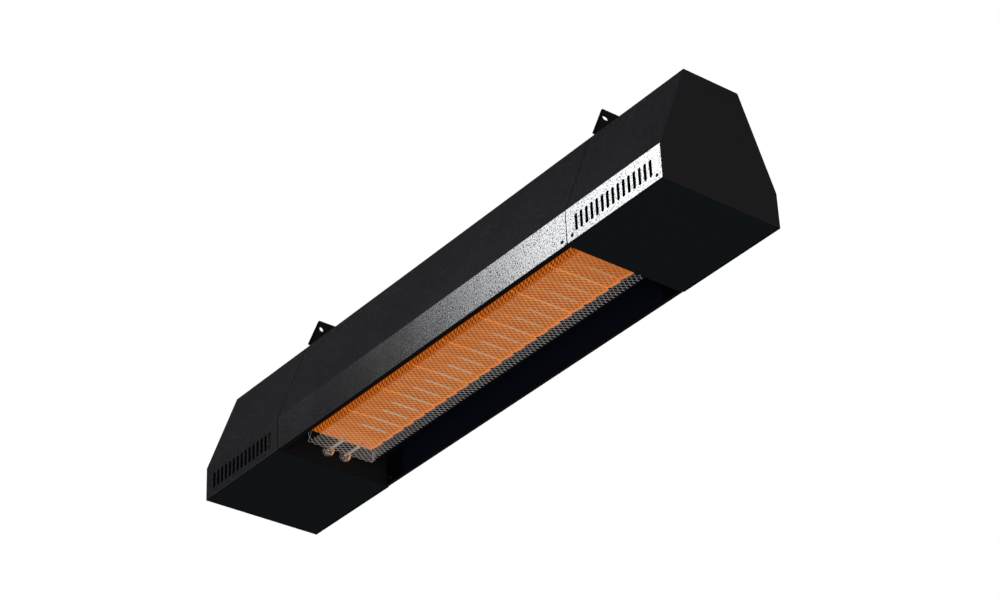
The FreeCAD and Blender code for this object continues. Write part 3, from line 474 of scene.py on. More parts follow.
def skin_group():
    """Masks of the hood's outer sides and slopes above their bottom fold, its top, its strips.

    The section's sides stand upright and then lean in by a fixed share of the height, so |y|
    plus that share of the height over the bend is the same all over the outer skin, and less by
    the sheet inside. Deep is how far under the skin a mask ends.
    """
    tree, given, result = new_group("hood_skin", {"Place": VECTOR, "Deep": FLOAT},
                                    {"Side": FLOAT, "Top": FLOAT, "Strip": FLOAT})
    axes = split(tree, given["Place"])

    def under(level, share):
        """A level less a share of the depth."""
        return maths(tree, "MULTIPLY_ADD", given["Deep"], -share, level)

    over = maths(tree, "MAXIMUM", maths(tree, "SUBTRACT", axes["Z"], HOOD_BEND_Z), 0.0)
    reach = maths(tree, "MULTIPLY_ADD", over, HOOD_LEAN, maths(tree, "ABSOLUTE", axes["Y"]))
    side = product(tree, ramp(tree, reach, under(HOOD_EDGE, 1.0), under(HOOD_EDGE, 0.5)),
                   ramp(tree, axes["Z"], HOOD_FOLD_Z / 2, HOOD_FOLD_Z))
    settle(result, Side=side,
           Top=ramp(tree, axes["Z"], under(HOOD_TOP_Z, 1.0), under(HOOD_TOP_Z, 0.5)),
           Strip=ramp(tree, axes["Z"], HOOD_BEND_Z, under(HOOD_BEND_Z, 1.0)))
    return tree


def glow_group():
    """Colour of the glow over the burner's face, and the mask of the plaques' holes.

    The patterns repeat along X by the plaque pitch and by a third of it, and shift to the right
    from the front to the middle. Each third is painted paler towards its right end, a painted
    shading of its rib. A streak is a painted highlight in the shape of a spindle: its half width
    shrinks away from the middle of its length. The rear rim slants across each third and is
    notched by a V between thirds. Patch is a cloudy mask that dims the field.
    """
    tree, given, result = new_group("burner_glow", {"Place": VECTOR, "Patch": FLOAT},
                                    {"Glow": COLOUR, "Hole": FLOAT})
    axes = split(tree, given["Place"])
    across = axes["Y"]
    pitch = TILE_LENGTH + TILE_JOINT
    rear = tile_high.y - RIM_COVER
    lean = ramp(tree, across, *LEAN_SPAN, LEAN_FRONT, LEAN_REAR)
    along = maths(tree, "ADD", axes["X"], TILE_JOINT / 2 - tile_low.x)
    along = maths(tree, "SUBTRACT", along, lean)
    third = line_distance(tree, along, pitch / TILE_RIBS)
    share = maths(tree, "FRACT", maths(tree, "DIVIDE", along, pitch / TILE_RIBS))
    inner = ramp(tree, axes["X"], tile_low.x + INNER_START, tile_low.x + INNER_FULL)
    joint = product(tree, ramp(tree, line_distance(tree, along, pitch), *JOINT_SPAN), inner)
    length = product(tree, ramp(tree, across, *STREAK_REAR), ramp(tree, across, *STREAK_FRONT))
    fade = ramp(tree, axes["X"], *FADE_SPAN, FADE_RIGHT, 1.0)
    spindle = product(tree, length, fade, STREAK_HALF)
    streak = ramp(tree, maths(tree, "SUBTRACT", spindle, third), *STREAK_SOFT)
    streak = product(tree, streak, length, fade, inner)
    slant = maths(tree, "MULTIPLY_ADD", share, RIM_SLANT, rear - RIM_SLANT * 3 / 4)
    cleft = maths(tree, "MULTIPLY_ADD", third, RIM_CLEFT, rear - RIM_NOTCH)
    past = maths(tree, "SUBTRACT", across, maths(tree, "MINIMUM", slant, cleft))
    notch = ramp(tree, past, -NOTCH_SOFT, NOTCH_SOFT)
    rim = ramp(tree, past, -RIM_WIDTH - RIM_SOFT, -RIM_WIDTH + RIM_SOFT)
    ranks = maths(tree, "SINE", product(tree, axes["X"], 2 * math.pi / HOLE_PITCH_X))
    files = maths(tree, "SINE", product(tree, across, 2 * math.pi / HOLE_PITCH_Y))
    hole = ramp(tree, product(tree, ranks, files), 0.2, 0.6)
    glow = mix(tree, given["Patch"], GLOW_FIELD, GLOW_DIM)
    # Here the tint over each rib is painted shading and the streak is a painted highlight
    for mask, colour in ((product(tree, hole, HOLE_SHADE), GLOW_HOLE),
                         (ramp(tree, share, 0.5, 1.0, 0.0, RIB_SHADING_SHARE), RIB_SHADING_COLOUR),
                         (ramp(tree, across, *FRONT_SPAN, 0.0, EDGE_TINT), GLOW_FRONT),
                         (maths(tree, "MULTIPLY_ADD", inner, -EDGE_TINT, EDGE_TINT), GLOW_LEFT),
                         (rim, GLOW_RIM), (joint, GLOW_JOINT), (streak, STREAK_HIGHLIGHT_COLOUR),
                         (notch, GLOW_NOTCH)):
        glow = mix(tree, mask, glow, colour)
    settle(result, Glow=glow, Hole=hole)
    return tree


HAMMERED = hammered_group()
PATCHES = patches_group()
BRUSHED = brushed_group()
SKIN = skin_group()
GLOW = glow_group()


# Finishes
def new_material(name):
    """A material with its shader and the Object coordinates that every pattern here reads."""
    made = bpy.data.materials.new(name)
    made.use_nodes = True
    tree = made.node_tree
    shader = tree.nodes["Principled BSDF"]
    place = add(tree, "ShaderNodeTexCoord").outputs["Object"]
    return made, tree, shader, place


def group(tree, kind, **values):
    """A shared pattern placed in a material with its own values."""
    return add(tree, "ShaderNodeGroup", values, node_tree=kind).outputs


def black_paint(name, colour, fleck_colour, inner_colour, rough, specular,
                deep=SKIN_DEEP, roof=True, dark_inside=0.0, painted_rim_shade=False):
    """Hammered black powder coat: wavy beads, dark pits, cloudy gloss, another colour inside.

    Where the paint counts as metal it mirrors only its own near-black colour: in the pits and,
    if so set, on the inside of the hood and on the cut rim of an end cap. Pits are shallower on
    the end hoods. A darker inner colour and the lip colour are painted shade inside the hood and
    under its bottom lip, and the near-black cut rim of an end cap is a painted shade line.
    """
    made, tree, shader, place = new_material(name)
    grain = group(tree, HAMMERED, Place=place, Fineness=PAINT_GRAIN)
    cloud = group(tree, PATCHES, Place=place, Fineness=PAINT_CLOUD)
    hood = group(tree, SKIN, Place=place, Deep=deep)
    axes = split(tree, place)
    along = maths(tree, "ABSOLUTE", axes["X"])
    skin = maths(tree, "MAXIMUM", hood["Side"], hood["Top"]) if roof else hood["Side"]
    seam = right_hood_low.x
    worn = ramp(tree, along, seam, seam + SEAM_DEEP, 1.0, END_PITS)
    pit = product(tree, grain["Pit"], hood["Strip"], skin, worn)
    # A cap's cut rim turns near-black: a painted shade line along its edge
    if painted_rim_shade:
        cut = ramp(tree, along, cap_end - RIM_SKIN / 2, cap_end - RIM_SKIN)
        pit = maths(tree, "MAXIMUM", pit, cut)
    inside = maths(tree, "MULTIPLY_ADD", skin, -dark_inside, dark_inside)
    clouded = ramp(tree, cloud["Patch"], 0.0, 1.0, rough - 0.01, rough + 0.02)
    pitted = maths(tree, "MULTIPLY_ADD", pit, PIT_ROUGH, clouded)
    gain = maths(tree, "SUBTRACT", pitted, INNER_ROUGH)
    fleck = product(tree, grain["Fleck"], ramp(tree, hood["Strip"], 0.0, 1.0, 1.0, STRIP_FLECKS))
    beaded = mix(tree, pit, mix(tree, fleck, colour, fleck_colour), PIT_COLOUR)
    hidden = inner_colour
    # In the hood a darker inner colour and the lip colour are painted shade
    if dark_inside:
        lip = ramp(tree, axes["Z"], HOOD_FOLD_Z, HOOD_FOLD_Z / 2)
        hidden = mix(tree, lip, inner_colour, LIP_PAINTED_SHADE)
    settle(shader, Base_Color=mix(tree, skin, hidden, beaded),
           Metallic=maths(tree, "MAXIMUM", pit, inside),
           Roughness=maths(tree, "MULTIPLY_ADD", skin, gain, INNER_ROUGH),
           Specular_IOR_Level=specular)
    bump(tree, shader, grain["Height"], BEAD_DEPTH)
    return made


def black_oxide():
    """Blackened screw steel, rubbed paler on its high patches."""
    made, tree, shader, place = new_material("black_oxide_steel")
    cloud = group(tree, PATCHES, Place=place, Fineness=400.0)
    settle(shader, Roughness=ramp(tree, cloud["Patch"], 0.0, 1.0, 0.5, 0.65),
           Base_Color=mix(tree, cloud["Patch"], (0.006, 0.006, 0.007), (0.012, 0.012, 0.013)),
           Specular_IOR_Level=0.15)
    bump(tree, shader, cloud["Speck"], 0.00003)
    return made


def sheet_metal(name, colour, stain, rough, fineness):
    """Rolled sheet: fine lines, cloudy stain, a light relief."""
    made, tree, shader, place = new_material(name)
    line = group(tree, BRUSHED, Place=place, Fineness=fineness)["Line"]
    patch = group(tree, PATCHES, Place=place, Fineness=14.0)["Patch"]
    pale = tuple(min(1.0, c * 1.15) for c in colour)
    base = mix(tree, product(tree, line, 0.6), mix(tree, patch, colour, stain), pale)
    settle(shader, Base_Color=base, Metallic=1.0,
           Roughness=ramp(tree, line, 0.3, 0.7, rough - 0.06, rough + 0.1))
    bump(tree, shader, line, 0.00004)
    return made


def moulded(name, colour, rough, grain=900.0, depth=0.00006):
    """Moulded plastic or rubber: spark-eroded grain, slight cloudiness."""
    made, tree, shader, place = new_material(name)
    skin = group(tree, HAMMERED, Place=place, Fineness=grain)
    patch = group(tree, PATCHES, Place=place, Fineness=20.0)["Patch"]
    worn = tuple(min(1.0, c * 1.25 + 0.01) for c in colour)
    settle(shader, Base_Color=mix(tree, product(tree, patch, 0.5), colour, worn),
           Roughness=ramp(tree, patch, 0.0, 1.0, rough, rough + 0.12))
    bump(tree, shader, skin["Height"], depth)
    return made


def fibre_mat():
    """Ceramic and mineral fibre: matted strands, creamy with darker tufts."""
    made, tree, shader, place = new_material("fibre_mat")
    tuft = group(tree, HAMMERED, Place=place, Fineness=260.0)
    line = group(tree, BRUSHED, Place=place, Fineness=700.0)["Line"]
    patch = group(tree, PATCHES, Place=place, Fineness=18.0)["Patch"]
    base = mix(tree, patch, (0.78, 0.74, 0.64), (0.62, 0.57, 0.46))
    settle(shader, Base_Color=mix(tree, product(tree, line, 0.5), base, (0.86, 0.83, 0.76)),
           Roughness=0.95)
    bump(tree, shader, maths(tree, "ADD", tuft["Height"], line), 0.0008)
    return made


def burner_glow(tree, place):
    """The burner's glow placed in a material, with its cloudy mask."""
    patch = group(tree, PATCHES, Place=place, Fineness=GLOW_CLOUD)["Patch"]
    return group(tree, GLOW, Place=place, Patch=patch)


def glowing_ceramic():
    """Perforated ceramic at work: orange glow, hotter joints and rear rim, pale painted highlight
    streaks.
    """
    made, tree, shader, place = new_material("glowing_ceramic")
    face = burner_glow(tree, place)
    settle(shader, Emission_Color=face["Glow"], Emission_Strength=1.0,
           Base_Color=mix(tree, face["Hole"], (0.06, 0.018, 0.004), (0.03, 0.008, 0.002)),
           Roughness=0.9, Specular_IOR_Level=0.1)
    bump(tree, shader, face["Hole"], -HOLE_DEPTH)
    return made


def tray_with_painted_glow():
    """Scaled steel tray; its lip under the plaques' edges carries the burner's glow, a painted
    glow.
    """
    made, tree, shader, place = new_material("tray_steel_painted_glow")
    axes = split(tree, place)
    away = maths(tree, "ABSOLUTE", axes["X"])
    # The lip under the plaques' edges is given the burner's glow in its emission, a painted glow
    lip = product(tree, ramp(tree, axes["Z"], tile_low.z + LIP_SKIN, tile_low.z),
                  ramp(tree, axes["Y"], LIP_FRONT - LIP_SOFT, LIP_FRONT + LIP_SOFT),
                  ramp(tree, away, LIP_END + LIP_SOFT, LIP_END - LIP_SOFT))
    line = group(tree, BRUSHED, Place=place, Fineness=900.0)["Line"]
    patch = group(tree, PATCHES, Place=place, Fineness=14.0)["Patch"]
    settle(shader, Base_Color=mix(tree, patch, (0.016, 0.015, 0.014), (0.026, 0.021, 0.018)),
           Roughness=ramp(tree, line, 0.3, 0.7, 0.6, 0.75), Metallic=1.0,
           Emission_Color=mix(tree, lip, (0.0, 0.0, 0.0), burner_glow(tree, place)["Glow"]),
           Emission_Strength=1.0)
    bump(tree, shader, line, 0.00004)
    return made


def glazed_ceramic():
    """Glazed insulator: dark beaded bulb, the burner's glow painted on its rear cheek as a painted
    reflection, pale flecks on its beads that are painted glints; chalky sleeve.

    The cheek is the part of each ball that reaches far from its middle along a fixed direction.
    """
    made, tree, shader, place = new_material("glazed_ceramic")
    patch = group(tree, PATCHES, Place=place, Fineness=90.0)["Patch"]
    height = group(tree, HAMMERED, Place=place, Fineness=260.0)["Height"]
    axes = split(tree, place)
    middle = (bulb_low + bulb_high) / 2
    offset = maths(tree, "SUBTRACT", maths(tree, "ABSOLUTE", axes["Y"]), abs(middle.y))
    beside = product(tree, maths(tree, "SIGN", axes["Y"]), offset)
    ahead = maths(tree, "SUBTRACT", axes["X"], hood_low.x + BULB_BALL_X)
    above = maths(tree, "SUBTRACT", axes["Z"], middle.z)
    far = product(tree, ahead, CHEEK.x)
    far = maths(tree, "MULTIPLY_ADD", beside, CHEEK.y, far)
    far = maths(tree, "MULTIPLY_ADD", above, CHEEK.z, far)
    neck = hood_low.x + BULB_LENGTH
    sleeve = ramp(tree, axes["X"], neck - SLEEVE_SOFT, neck + SLEEVE_SOFT)
    # The cheek's emission is a painted reflection of the burner's glow
    cheek = product(tree, ramp(tree, far, CHEEK_START * BULB_BALL_R, CHEEK_FULL * BULB_BALL_R),
                    maths(tree, "SUBTRACT", 1.0, sleeve))
    bulb = mix(tree, patch, (0.035, 0.03, 0.027), (0.1, 0.06, 0.035))
    # Pale flecks on the high beads are painted glints
    bulb = mix(tree, ramp(tree, height, 0.5, 0.58), bulb, (0.33, 0.3, 0.27))
    chalk = mix(tree, patch, (0.72, 0.66, 0.6), (0.5, 0.42, 0.36))
    settle(shader, Base_Color=mix(tree, sleeve, bulb, chalk),
           Roughness=ramp(tree, patch, 0.0, 1.0, 0.1, 0.2),
           Emission_Color=mix(tree, cheek, (0.0, 0.0, 0.0), (0.5, 0.15, 0.02)),
           Emission_Strength=1.0, Coat_Weight=0.5, Coat_Roughness=0.03)
    bump(tree, shader, height, 0.0008)
    return made


def guard_steel():
    """Expanded stainless steel: straw-tinted under the burner, grey past it, walls dark with
    painted shade.
    """
    made, tree, shader, place = new_material("guard_steel")
    axes = split(tree, place)
    x, y = axes["X"], axes["Y"]
    warm = product(tree, ramp(tree, y, HEAT_REAR, HEAT_REAR - TINT_SOFT),
                   ramp(tree, x, WARM_LEFT, WARM_LEFT + TINT_SOFT))
    heat = product(tree, warm, ramp(tree, x, HEAT_LEFT, HEAT_LEFT + HEAT_LEFT_SOFT),
                   ramp(tree, y, HEAT_FRONT, HEAT_FRONT + HEAT_FRONT_SOFT))
    # The upright walls and the rear bend are painted near-black and rough: painted shade
    upright = ramp(tree, axes["Z"], guard_low.z + SHEET, guard_low.z + 2 * SHEET)
    rear = ramp(tree, y, guard_high.y - BEND - 2 * SHEET, guard_high.y - BEND - SHEET)
    wall = product(tree, maths(tree, "MAXIMUM", upright, rear),
                   ramp(tree, x, WALL_SHADE_LEFT, WALL_SHADE_LEFT + TINT_SOFT))
    sooted = ramp(tree, x, HEAT_LEFT, HEAT_LEFT + SOOT_SOFT)
    patch = group(tree, PATCHES, Place=place, Fineness=25.0)["Patch"]
    grain = group(tree, HAMMERED, Place=place, Fineness=1800.0)
    grey = mix(tree, patch, (0.66, 0.66, 0.65), (0.57, 0.57, 0.555))
    grey = mix(tree, sooted, grey, (0.52, 0.535, 0.545))
    grey = mix(tree, warm, grey, (0.78, 0.76, 0.58))
    straw = mix(tree, patch, (0.82, 0.75, 0.43), (0.72, 0.65, 0.36))
    clouded = ramp(tree, patch, 0.0, 1.0, 0.5, 0.6)
    worn = maths(tree, "MULTIPLY_ADD", grain["Fleck"], -0.1, clouded)
    settle(shader, Metallic=0.2, Specular_IOR_Level=0.3,
           Base_Color=mix(tree, wall, mix(tree, heat, grey, straw), (0.012, 0.012, 0.008)),
           Roughness=maths(tree, "MAXIMUM", worn, wall))
    bump(tree, shader, grain["Height"], 0.00008)
    return made


finish = {
    # Hood: its navy inner colour is painted shade of the inside
    "hood_paint": black_paint(
        "hood_paint", colour=(0.0124, 0.0112, 0.0129), fleck_colour=(0.047, 0.046, 0.05),
        inner_colour=(0.004, 0.008, 0.018), rough=0.2, specular=0.3, dark_inside=0.8),
    "cap_paint": black_paint(
        "end_cap_paint", colour=(0.0085, 0.0074, 0.009), fleck_colour=(0.014, 0.0125, 0.015),
        inner_colour=(0.0085, 0.0074, 0.009), rough=0.5, specular=0.2, painted_rim_shade=True),
    # Pans: a darker, bluer, duller copy of the hood paint, partly their own paint and partly
    # painted shade of their down-facing faces
    "shaded_pan_paint": black_paint(
        "shaded_pan_paint", colour=(0.0055, 0.0075, 0.0092), fleck_colour=(0.0095, 0.012, 0.014),
        inner_colour=(0.0055, 0.0075, 0.0092), rough=0.7, specular=0.05),
    # Bulkheads: near-black where their edges show in the hood's seams, a painted shade line; their
    # own dark colour inside
    "bulkhead_paint": black_paint(
        "bulkhead_paint", colour=(0.001, 0.001, 0.0012), fleck_colour=(0.001, 0.001, 0.0012),
        inner_colour=(0.0085, 0.0078, 0.0084), rough=0.95, specular=0.05, deep=SEAM_DEEP,
        roof=False),
    "tray_with_painted_glow": tray_with_painted_glow(),
    "black_screw": black_oxide(),
    "glowing_ceramic": glowing_ceramic(),
    "fibre": fibre_mat(),
    "guard_wire": guard_steel(),
    "glazed_ceramic": glazed_ceramic(),
}
# Slot, material, colour, stain, roughness, fineness of the rolled lines
for slot_name, *metal in (
        ("scaled_steel", "scaled_steel", (0.03, 0.028, 0.027), (0.05, 0.04, 0.033), 0.55, 900.0),
        ("zinc_steel", "zinc_plate", (0.6, 0.62, 0.64), (0.5, 0.5, 0.47), 0.34, 1600.0),
        ("aluminised_sheet", "aluminised_sheet", (0.5, 0.5, 0.49), (0.3, 0.25, 0.2), 0.42, 900.0),
        ("brass", "brass", (0.76, 0.55, 0.24), (0.52, 0.36, 0.15), 0.24, 2200.0),
        ("gas_pipe", "steel_pipe", (0.5, 0.5, 0.5), (0.38, 0.36, 0.34), 0.32, 2000.0),
        ("cast_aluminium", "cast_aluminium", (0.62, 0.63, 0.64), (0.5, 0.5, 0.5), 0.5, 500.0),
        ("machined_steel", "turned_steel", (0.62, 0.62, 0.63), (0.5, 0.49, 0.48), 0.25, 2600.0),
        ("electrode_wire", "electrode_wire", (0.42, 0.38, 0.35), (0.22, 0.15, 0.12), 0.4, 2500.0)):
    finish[slot_name] = sheet_metal(*metal)
# Slot, material, colour, roughness and, if not the usual ones, grain and its depth
for slot_name, *plastic in (
        ("coil_moulding", "coil_moulding", (0.02, 0.02, 0.023), 0.45),
        ("control_housing", "control_housing", (0.6, 0.6, 0.57), 0.5),
        ("terminal_plastic", "terminal_plastic", (0.7, 0.66, 0.52), 0.45),
        ("gland_plastic", "gland_nylon", (0.025, 0.025, 0.028), 0.42, 1200.0, 0.00004),
        ("lead_rubber", "silicone_lead", (0.42, 0.07, 0.035), 0.55, 1500.0, 0.00003)):
    finish[slot_name] = moulded(*plastic)

painted_apart = {"left_end_cap": "cap_paint", "right_end_cap": "cap_paint",
                 "left_bottom_pan": "shaded_pan_paint", "right_bottom_pan": "shaded_pan_paint",
                 "left_bulkhead": "bulkhead_paint", "right_bulkhead": "bulkhead_paint",
                 "casing_nuts": "black_screw", "burner_tray": "tray_with_painted_glow",
                 "left_burner_bracket": "scaled_steel", "right_burner_bracket": "scaled_steel"}


def dress_frame():
    """Gives every node of the frame the finish of its slot, or its own shade of paint."""
    for row in frame["record"]["subparts"]:
        mesh = nodes[row["node"]].data
        mesh.materials.clear()
        mesh.materials.append(finish[painted_apart.get(row["node"], row["material_slot"])])


# Guard
def folded_section(run):
    """Mid-sheet (y, z) and outward direction at a distance along the guard's section.

    The distance counts from the section's middle. The turn angle grows from nothing to a quarter
    turn over each bend: flat bottom, bend, upright wall.
    """
    away = np.abs(run)
    turn = np.clip((away - guard_flat) / bend_r, 0.0, math.pi / 2)
    side = np.sign(run)
    y = side * (np.minimum(away, guard_flat) + bend_r * np.sin(turn))
    z = guard_low.z + SHEET / 2 + bend_r * (1 - np.cos(turn))
    z = z + np.maximum(away - guard_flat - bend_run, 0.0)
    return y, z, side * np.sin(turn), -np.cos(turn)


def expanded_guard():
    """Basket of expanded metal: zigzag strands side by side, joined where they touch.

    Strand k at distance s along the folded section lies at x = k * half cell + (-1)^k * swing *
    wave(s), where the wave goes from -1 to 1 between bonds and stays level over each bond. An
    oblong section, tilted about the strand, is carried along it, and is stouter on the walls.
    """
    reach = guard_flat + bend_run + guard_high.z - guard_low.z - SHEET / 2 - bend_r
    half_cell = CELL_LENGTH / 2
    row = CELL_WIDTH / 2
    count = int(reach / row)
    bond = np.arange(-count - 1, count + 2) * row
    level = np.where(np.arange(len(bond)) % 2, 1.0, -1.0)
    knots = np.stack([bond - BOND / 2, bond + BOND / 2], 1).ravel()
    bend_end = guard_flat + bend_run
    wall_start = bend_end + WALL_START
    extra = [guard_flat, guard_flat + bend_run / 2, bend_end, wall_start, reach]
    run = np.unique(np.concatenate([knots[np.abs(knots) < reach], extra, np.negative(extra)]))
    wave = np.interp(run, knots, np.repeat(level, 2))
    y, z, out_y, out_z = folded_section(run)
    strands = int((guard_high.x - guard_low.x - STRAND) / half_cell)
    number = np.arange(strands)
    middle = (number - (strands - 1) / 2) * half_cell
    slim = np.interp(np.abs(run), [guard_flat, bend_end, wall_start],
                     [1.0, BEND_STRAND, WALL_STRAND])[:, None]
    swing = (half_cell - STRAND * slim[:, 0]) / 2 + BOND_LAP
    side = np.where(number % 2, -1.0, 1.0)
    corner = np.array([[-1, -1], [1, -1], [1, 1], [-1, 1]]) * [STRAND / 2, STRAND_THICK / 2]
    beside = corner[:, 0] * math.cos(STRAND_TILT) - corner[:, 1] * math.sin(STRAND_TILT)
    outward = corner[:, 0] * math.sin(STRAND_TILT) + corner[:, 1] * math.cos(STRAND_TILT)
    shape = (strands, len(run), len(corner))
    x = (middle[:, None, None] + side[:, None, None] * (swing * wave)[None, :, None]
         + (slim * beside)[None])
    points = np.stack([x, np.broadcast_to(y[:, None] + slim * outward * out_y[:, None], shape),
                       np.broadcast_to(z[:, None] + slim * outward * out_z[:, None], shape)], -1)
    last = (len(run) - 1) * len(corner)
    ends = np.array([[3, 2, 1, 0], [last, last + 1, last + 2, last + 3]])
    one = np.concatenate([grid_faces(len(run), len(corner)), ends])
    steps = (number * len(run) * len(corner))[:, None, None]
    faces = (one[None] + steps).reshape(-1, 4)
    made = piece("guard_net", points, faces, "guard_wire", smooth=False)
    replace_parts(made, "guard_mesh")


# Fasteners and fittings
def turned(rows, count):
    """A shape turned about Z from rows of radius r and height h, each a number or one per angle.

    At angle a a ring's point is x = r cos a, y = r sin a, z = h.
    """
    level = np.ones(count)
    radius = np.stack([r * level for r, _ in rows])
    height = np.stack([h * level for _, h in rows])
    angle = full_turn(count)
    points = np.stack([radius * np.cos(angle), radius * np.sin(angle), height], -1)
    return points.reshape(-1, 3), grid_faces(len(rows), count)


def upright_piece(name, rows, count, low, high, slot, crisp):
    """A shape turned about the upright middle line of a box, with edges crisp past an angle."""
    points, faces = turned(rows, count)
    middle = (low + high) / 2
    points += np.array([middle.x, middle.y, 0.0])
    return sharp_edges(piece(name, points, faces, slot), crisp)


def hexagon(count, across):
    """Distance from the middle to a hexagon's edge at each angle."""
    sixth = math.pi / 3
    return across / 2 / np.cos((full_turn(count) + sixth / 2) % sixth - sixth / 2)


def cross_screw():
    """A round head with a cross-shaped well, and its shank.

    The well's edge at an angle folded into an eighth of a turn is the nearer of the arm's end and
    the arm's side; the head is a slice of a ball.
    """
    quarter = math.pi / 2
    fold = np.abs((full_turn(SCREW_SIDES) + quarter / 2) % quarter - quarter / 2)
    edge = np.minimum(CROSS_ARM / np.cos(fold), CROSS_HALF / np.maximum(np.sin(fold), WELD))
    ball = (SCREW_HEAD_R ** 2 + SCREW_HEAD_H ** 2) / (2 * SCREW_HEAD_H)
    dome_r = edge + (SCREW_HEAD_R - edge) * np.linspace(0.0, 1.0, DOME_RINGS)[:, None]
    dome_h = np.sqrt(ball ** 2 - dome_r ** 2) - (ball - SCREW_HEAD_H)
    floor_h = SCREW_HEAD_H - CROSS_DEPTH
    rows = [(0.0, floor_h), (edge * CROSS_TAPER, floor_h), *zip(dome_r, dome_h),
            (SCREW_SHANK_R, 0.0), (SCREW_SHANK_R, -SCREW_LENGTH), (0.0, -SCREW_LENGTH)]
    return turned(rows, SCREW_SIDES)


def casing_screws():
    """All casing screws, front and rear, seated on the side strips where the frame has them."""
    points, faces = cross_screw()
    rows = {"hood_screws": [hood_screw_high.x - SCREW_HEAD_R],
            "pan_screws": [right_hood_low.x + SEAM_SCREW, pan_screw_high.x - SCREW_HEAD_R]}
    for node, along in rows.items():
        shells = []
        for side in (-1, 1):
            facing = np.stack([points[:, 0], side * points[:, 2], points[:, 1]], -1)
            places = [(end * x, side * HOOD_EDGE, SCREW_Z) for x in along for end in (-1, 1)]
            shells.append(copies(facing, faces, places))
        first, second = shells
        made = piece(node + "_crossed", np.concatenate([first[0], second[0]]),
                     np.concatenate([first[1], second[1] + len(first[0])]), "black_screw")
        sharp_edges(made, 35)
        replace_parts(made, node)


def cable_gland():
    """Gland: bored thread under the sheet, chamfered hexagon, fluted domed nut, rounded mouth."""
    foot, sheet, rim = gland_low.z, hood_high.z, gland_high.z
    hex_top = sheet + GLAND_HEX_H
    six = hexagon(GLAND_SIDES, GLAND_HEX)
    chamfer = np.minimum(six, GLAND_CONE_R)
    ripple = np.clip(np.cos(FLUTES * full_turn(GLAND_SIDES)), FLUTE_FLOOR, 1)
    flute = 1 - FLUTE_DEPTH * ripple ** 2
    nut = [(r * (flute if fluted else 1.0), hex_top + h) for r, h, fluted in GLAND_NUT]
    mouth = [(GLAND_BORE_R + r, rim - depth) for r, depth in GLAND_MOUTH]
    rows = [(GLAND_BORE_R, foot), (GLAND_THREAD_R, foot), (GLAND_THREAD_R, sheet),
            (chamfer, sheet), (six, sheet + GLAND_CONE_H), (six, hex_top - GLAND_CONE_H),
            (chamfer, hex_top), *nut, (GLAND_RIM_R, rim), *mouth, (GLAND_BORE_R, foot)]
    made = upright_piece("cable_gland_nut", rows, GLAND_SIDES, gland_low, gland_high,
                         "gland_plastic", crisp=32)
    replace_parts(made, "cable_gland")


def inlet_fitting():
    """Gas nipple: hexagon collar under the sheet, plain neck, helical pipe thread, bored through.

    On the thread the radius at height z and angle a follows a triangle wave of z / pitch - a /
    turn.
    """
    bottom, top = inlet_low.z, inlet_high.z
    under = hood_high.z - HOOD_SHEET
    neck_top = inlet_nut_high.z + INLET_NECK_PROUD
    six = hexagon(INLET_SIDES, INLET_HEX)
    chamfer = np.minimum(six, INLET_CONE_R)
    foot, head = neck_top + THREAD_FOOT, top - THREAD_HEAD
    steps = np.linspace(foot, head, THREAD_STEPS)
    turn = steps[:, None] / THREAD_PITCH - full_turn(INLET_SIDES) / (2 * math.pi)
    wave = np.abs((turn % 1.0) * 2 - 1)
    ease = np.minimum(1.0, np.minimum(steps - foot, head - steps) / THREAD_PITCH)[:, None]
    cut_thread = THREAD_R - THREAD_DEPTH * wave * ease
    rows = [(INLET_BORE_R, bottom), (chamfer, bottom), (six, bottom + INLET_FOOT_CONE),
            (six, under - INLET_HEAD_CONE), (chamfer, under), (INLET_NECK_R, under),
            (INLET_NECK_R, neck_top), (THREAD_ROOT_R, neck_top), *zip(cut_thread, steps),
            (THREAD_TIP_R, top), (INLET_BORE_R + INLET_MOUTH, top),
            (INLET_BORE_R, top - INLET_MOUTH), (INLET_BORE_R, bottom)]
    made = upright_piece("threaded_inlet", rows, INLET_SIDES, inlet_low, inlet_high, "brass",
                         crisp=40)
    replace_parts(made, "gas_inlet_fitting")


def inlet_nut():
    """Hexagon locknut, chamfered above and below by a cone that takes the corners."""
    low, high = inlet_nut_low.z, inlet_nut_high.z
    six = hexagon(NUT_SIDES, NUT_HEX)
    chamfer = np.minimum(six, NUT_CONE_R)
    rows = [(NUT_BORE_R, low), (chamfer, low), (six, low + NUT_CONE_H), (six, high - NUT_CONE_H),
            (chamfer, high), (NUT_BORE_R + NUT_MOUTH, high), (NUT_BORE_R, high - NUT_MOUTH),
            (NUT_BORE_R, low)]
    made = upright_piece("chamfered_locknut", rows, NUT_SIDES, inlet_nut_low, inlet_nut_high,
                         "brass", crisp=32)
    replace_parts(made, "inlet_locknut")


# Electrode insulators, valve springs and blanket
def insulators():
    """Two glazed insulators turned about X: straight tail, a slice of a ball, slim bored sleeve.

    Over the ball the radius at a distance d from the bulkhead is lift + sqrt(R^2 - (d - D)^2).
    """
    tail, seam, tip = bulb_low.x, hood_low.x, bulb_high.x
    ball_d = np.linspace(0.0, BULB_LENGTH, BULB_RINGS)
    ball_r = BULB_BALL_LIFT + np.sqrt(BULB_BALL_R ** 2 - (ball_d - BULB_BALL_X) ** 2)
    rows = [(SLEEVE_BORE, tail), (TAIL_R, tail), (TAIL_R, seam), (ball_r[0], seam),
            *zip(ball_r, seam + ball_d), (SLEEVE_R, tip - SLEEVE_MOUTH),
            (SLEEVE_R - SLEEVE_MOUTH, tip), (SLEEVE_BORE, tip), (SLEEVE_BORE, tail)]
    points, faces = turned(rows, BULB_SIDES)
    height = (bulb_low.z + bulb_high.z) / 2
    for node in ("spark_insulator", "sensor_insulator"):
        low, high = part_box(node)
        places = np.stack([points[:, 2], points[:, 0] + (low.y + high.y) / 2,
                           points[:, 1] + height], -1)
        made = piece(node + "_glazed", places, faces, "glazed_ceramic")
        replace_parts(sharp_edges(made, 40), node)


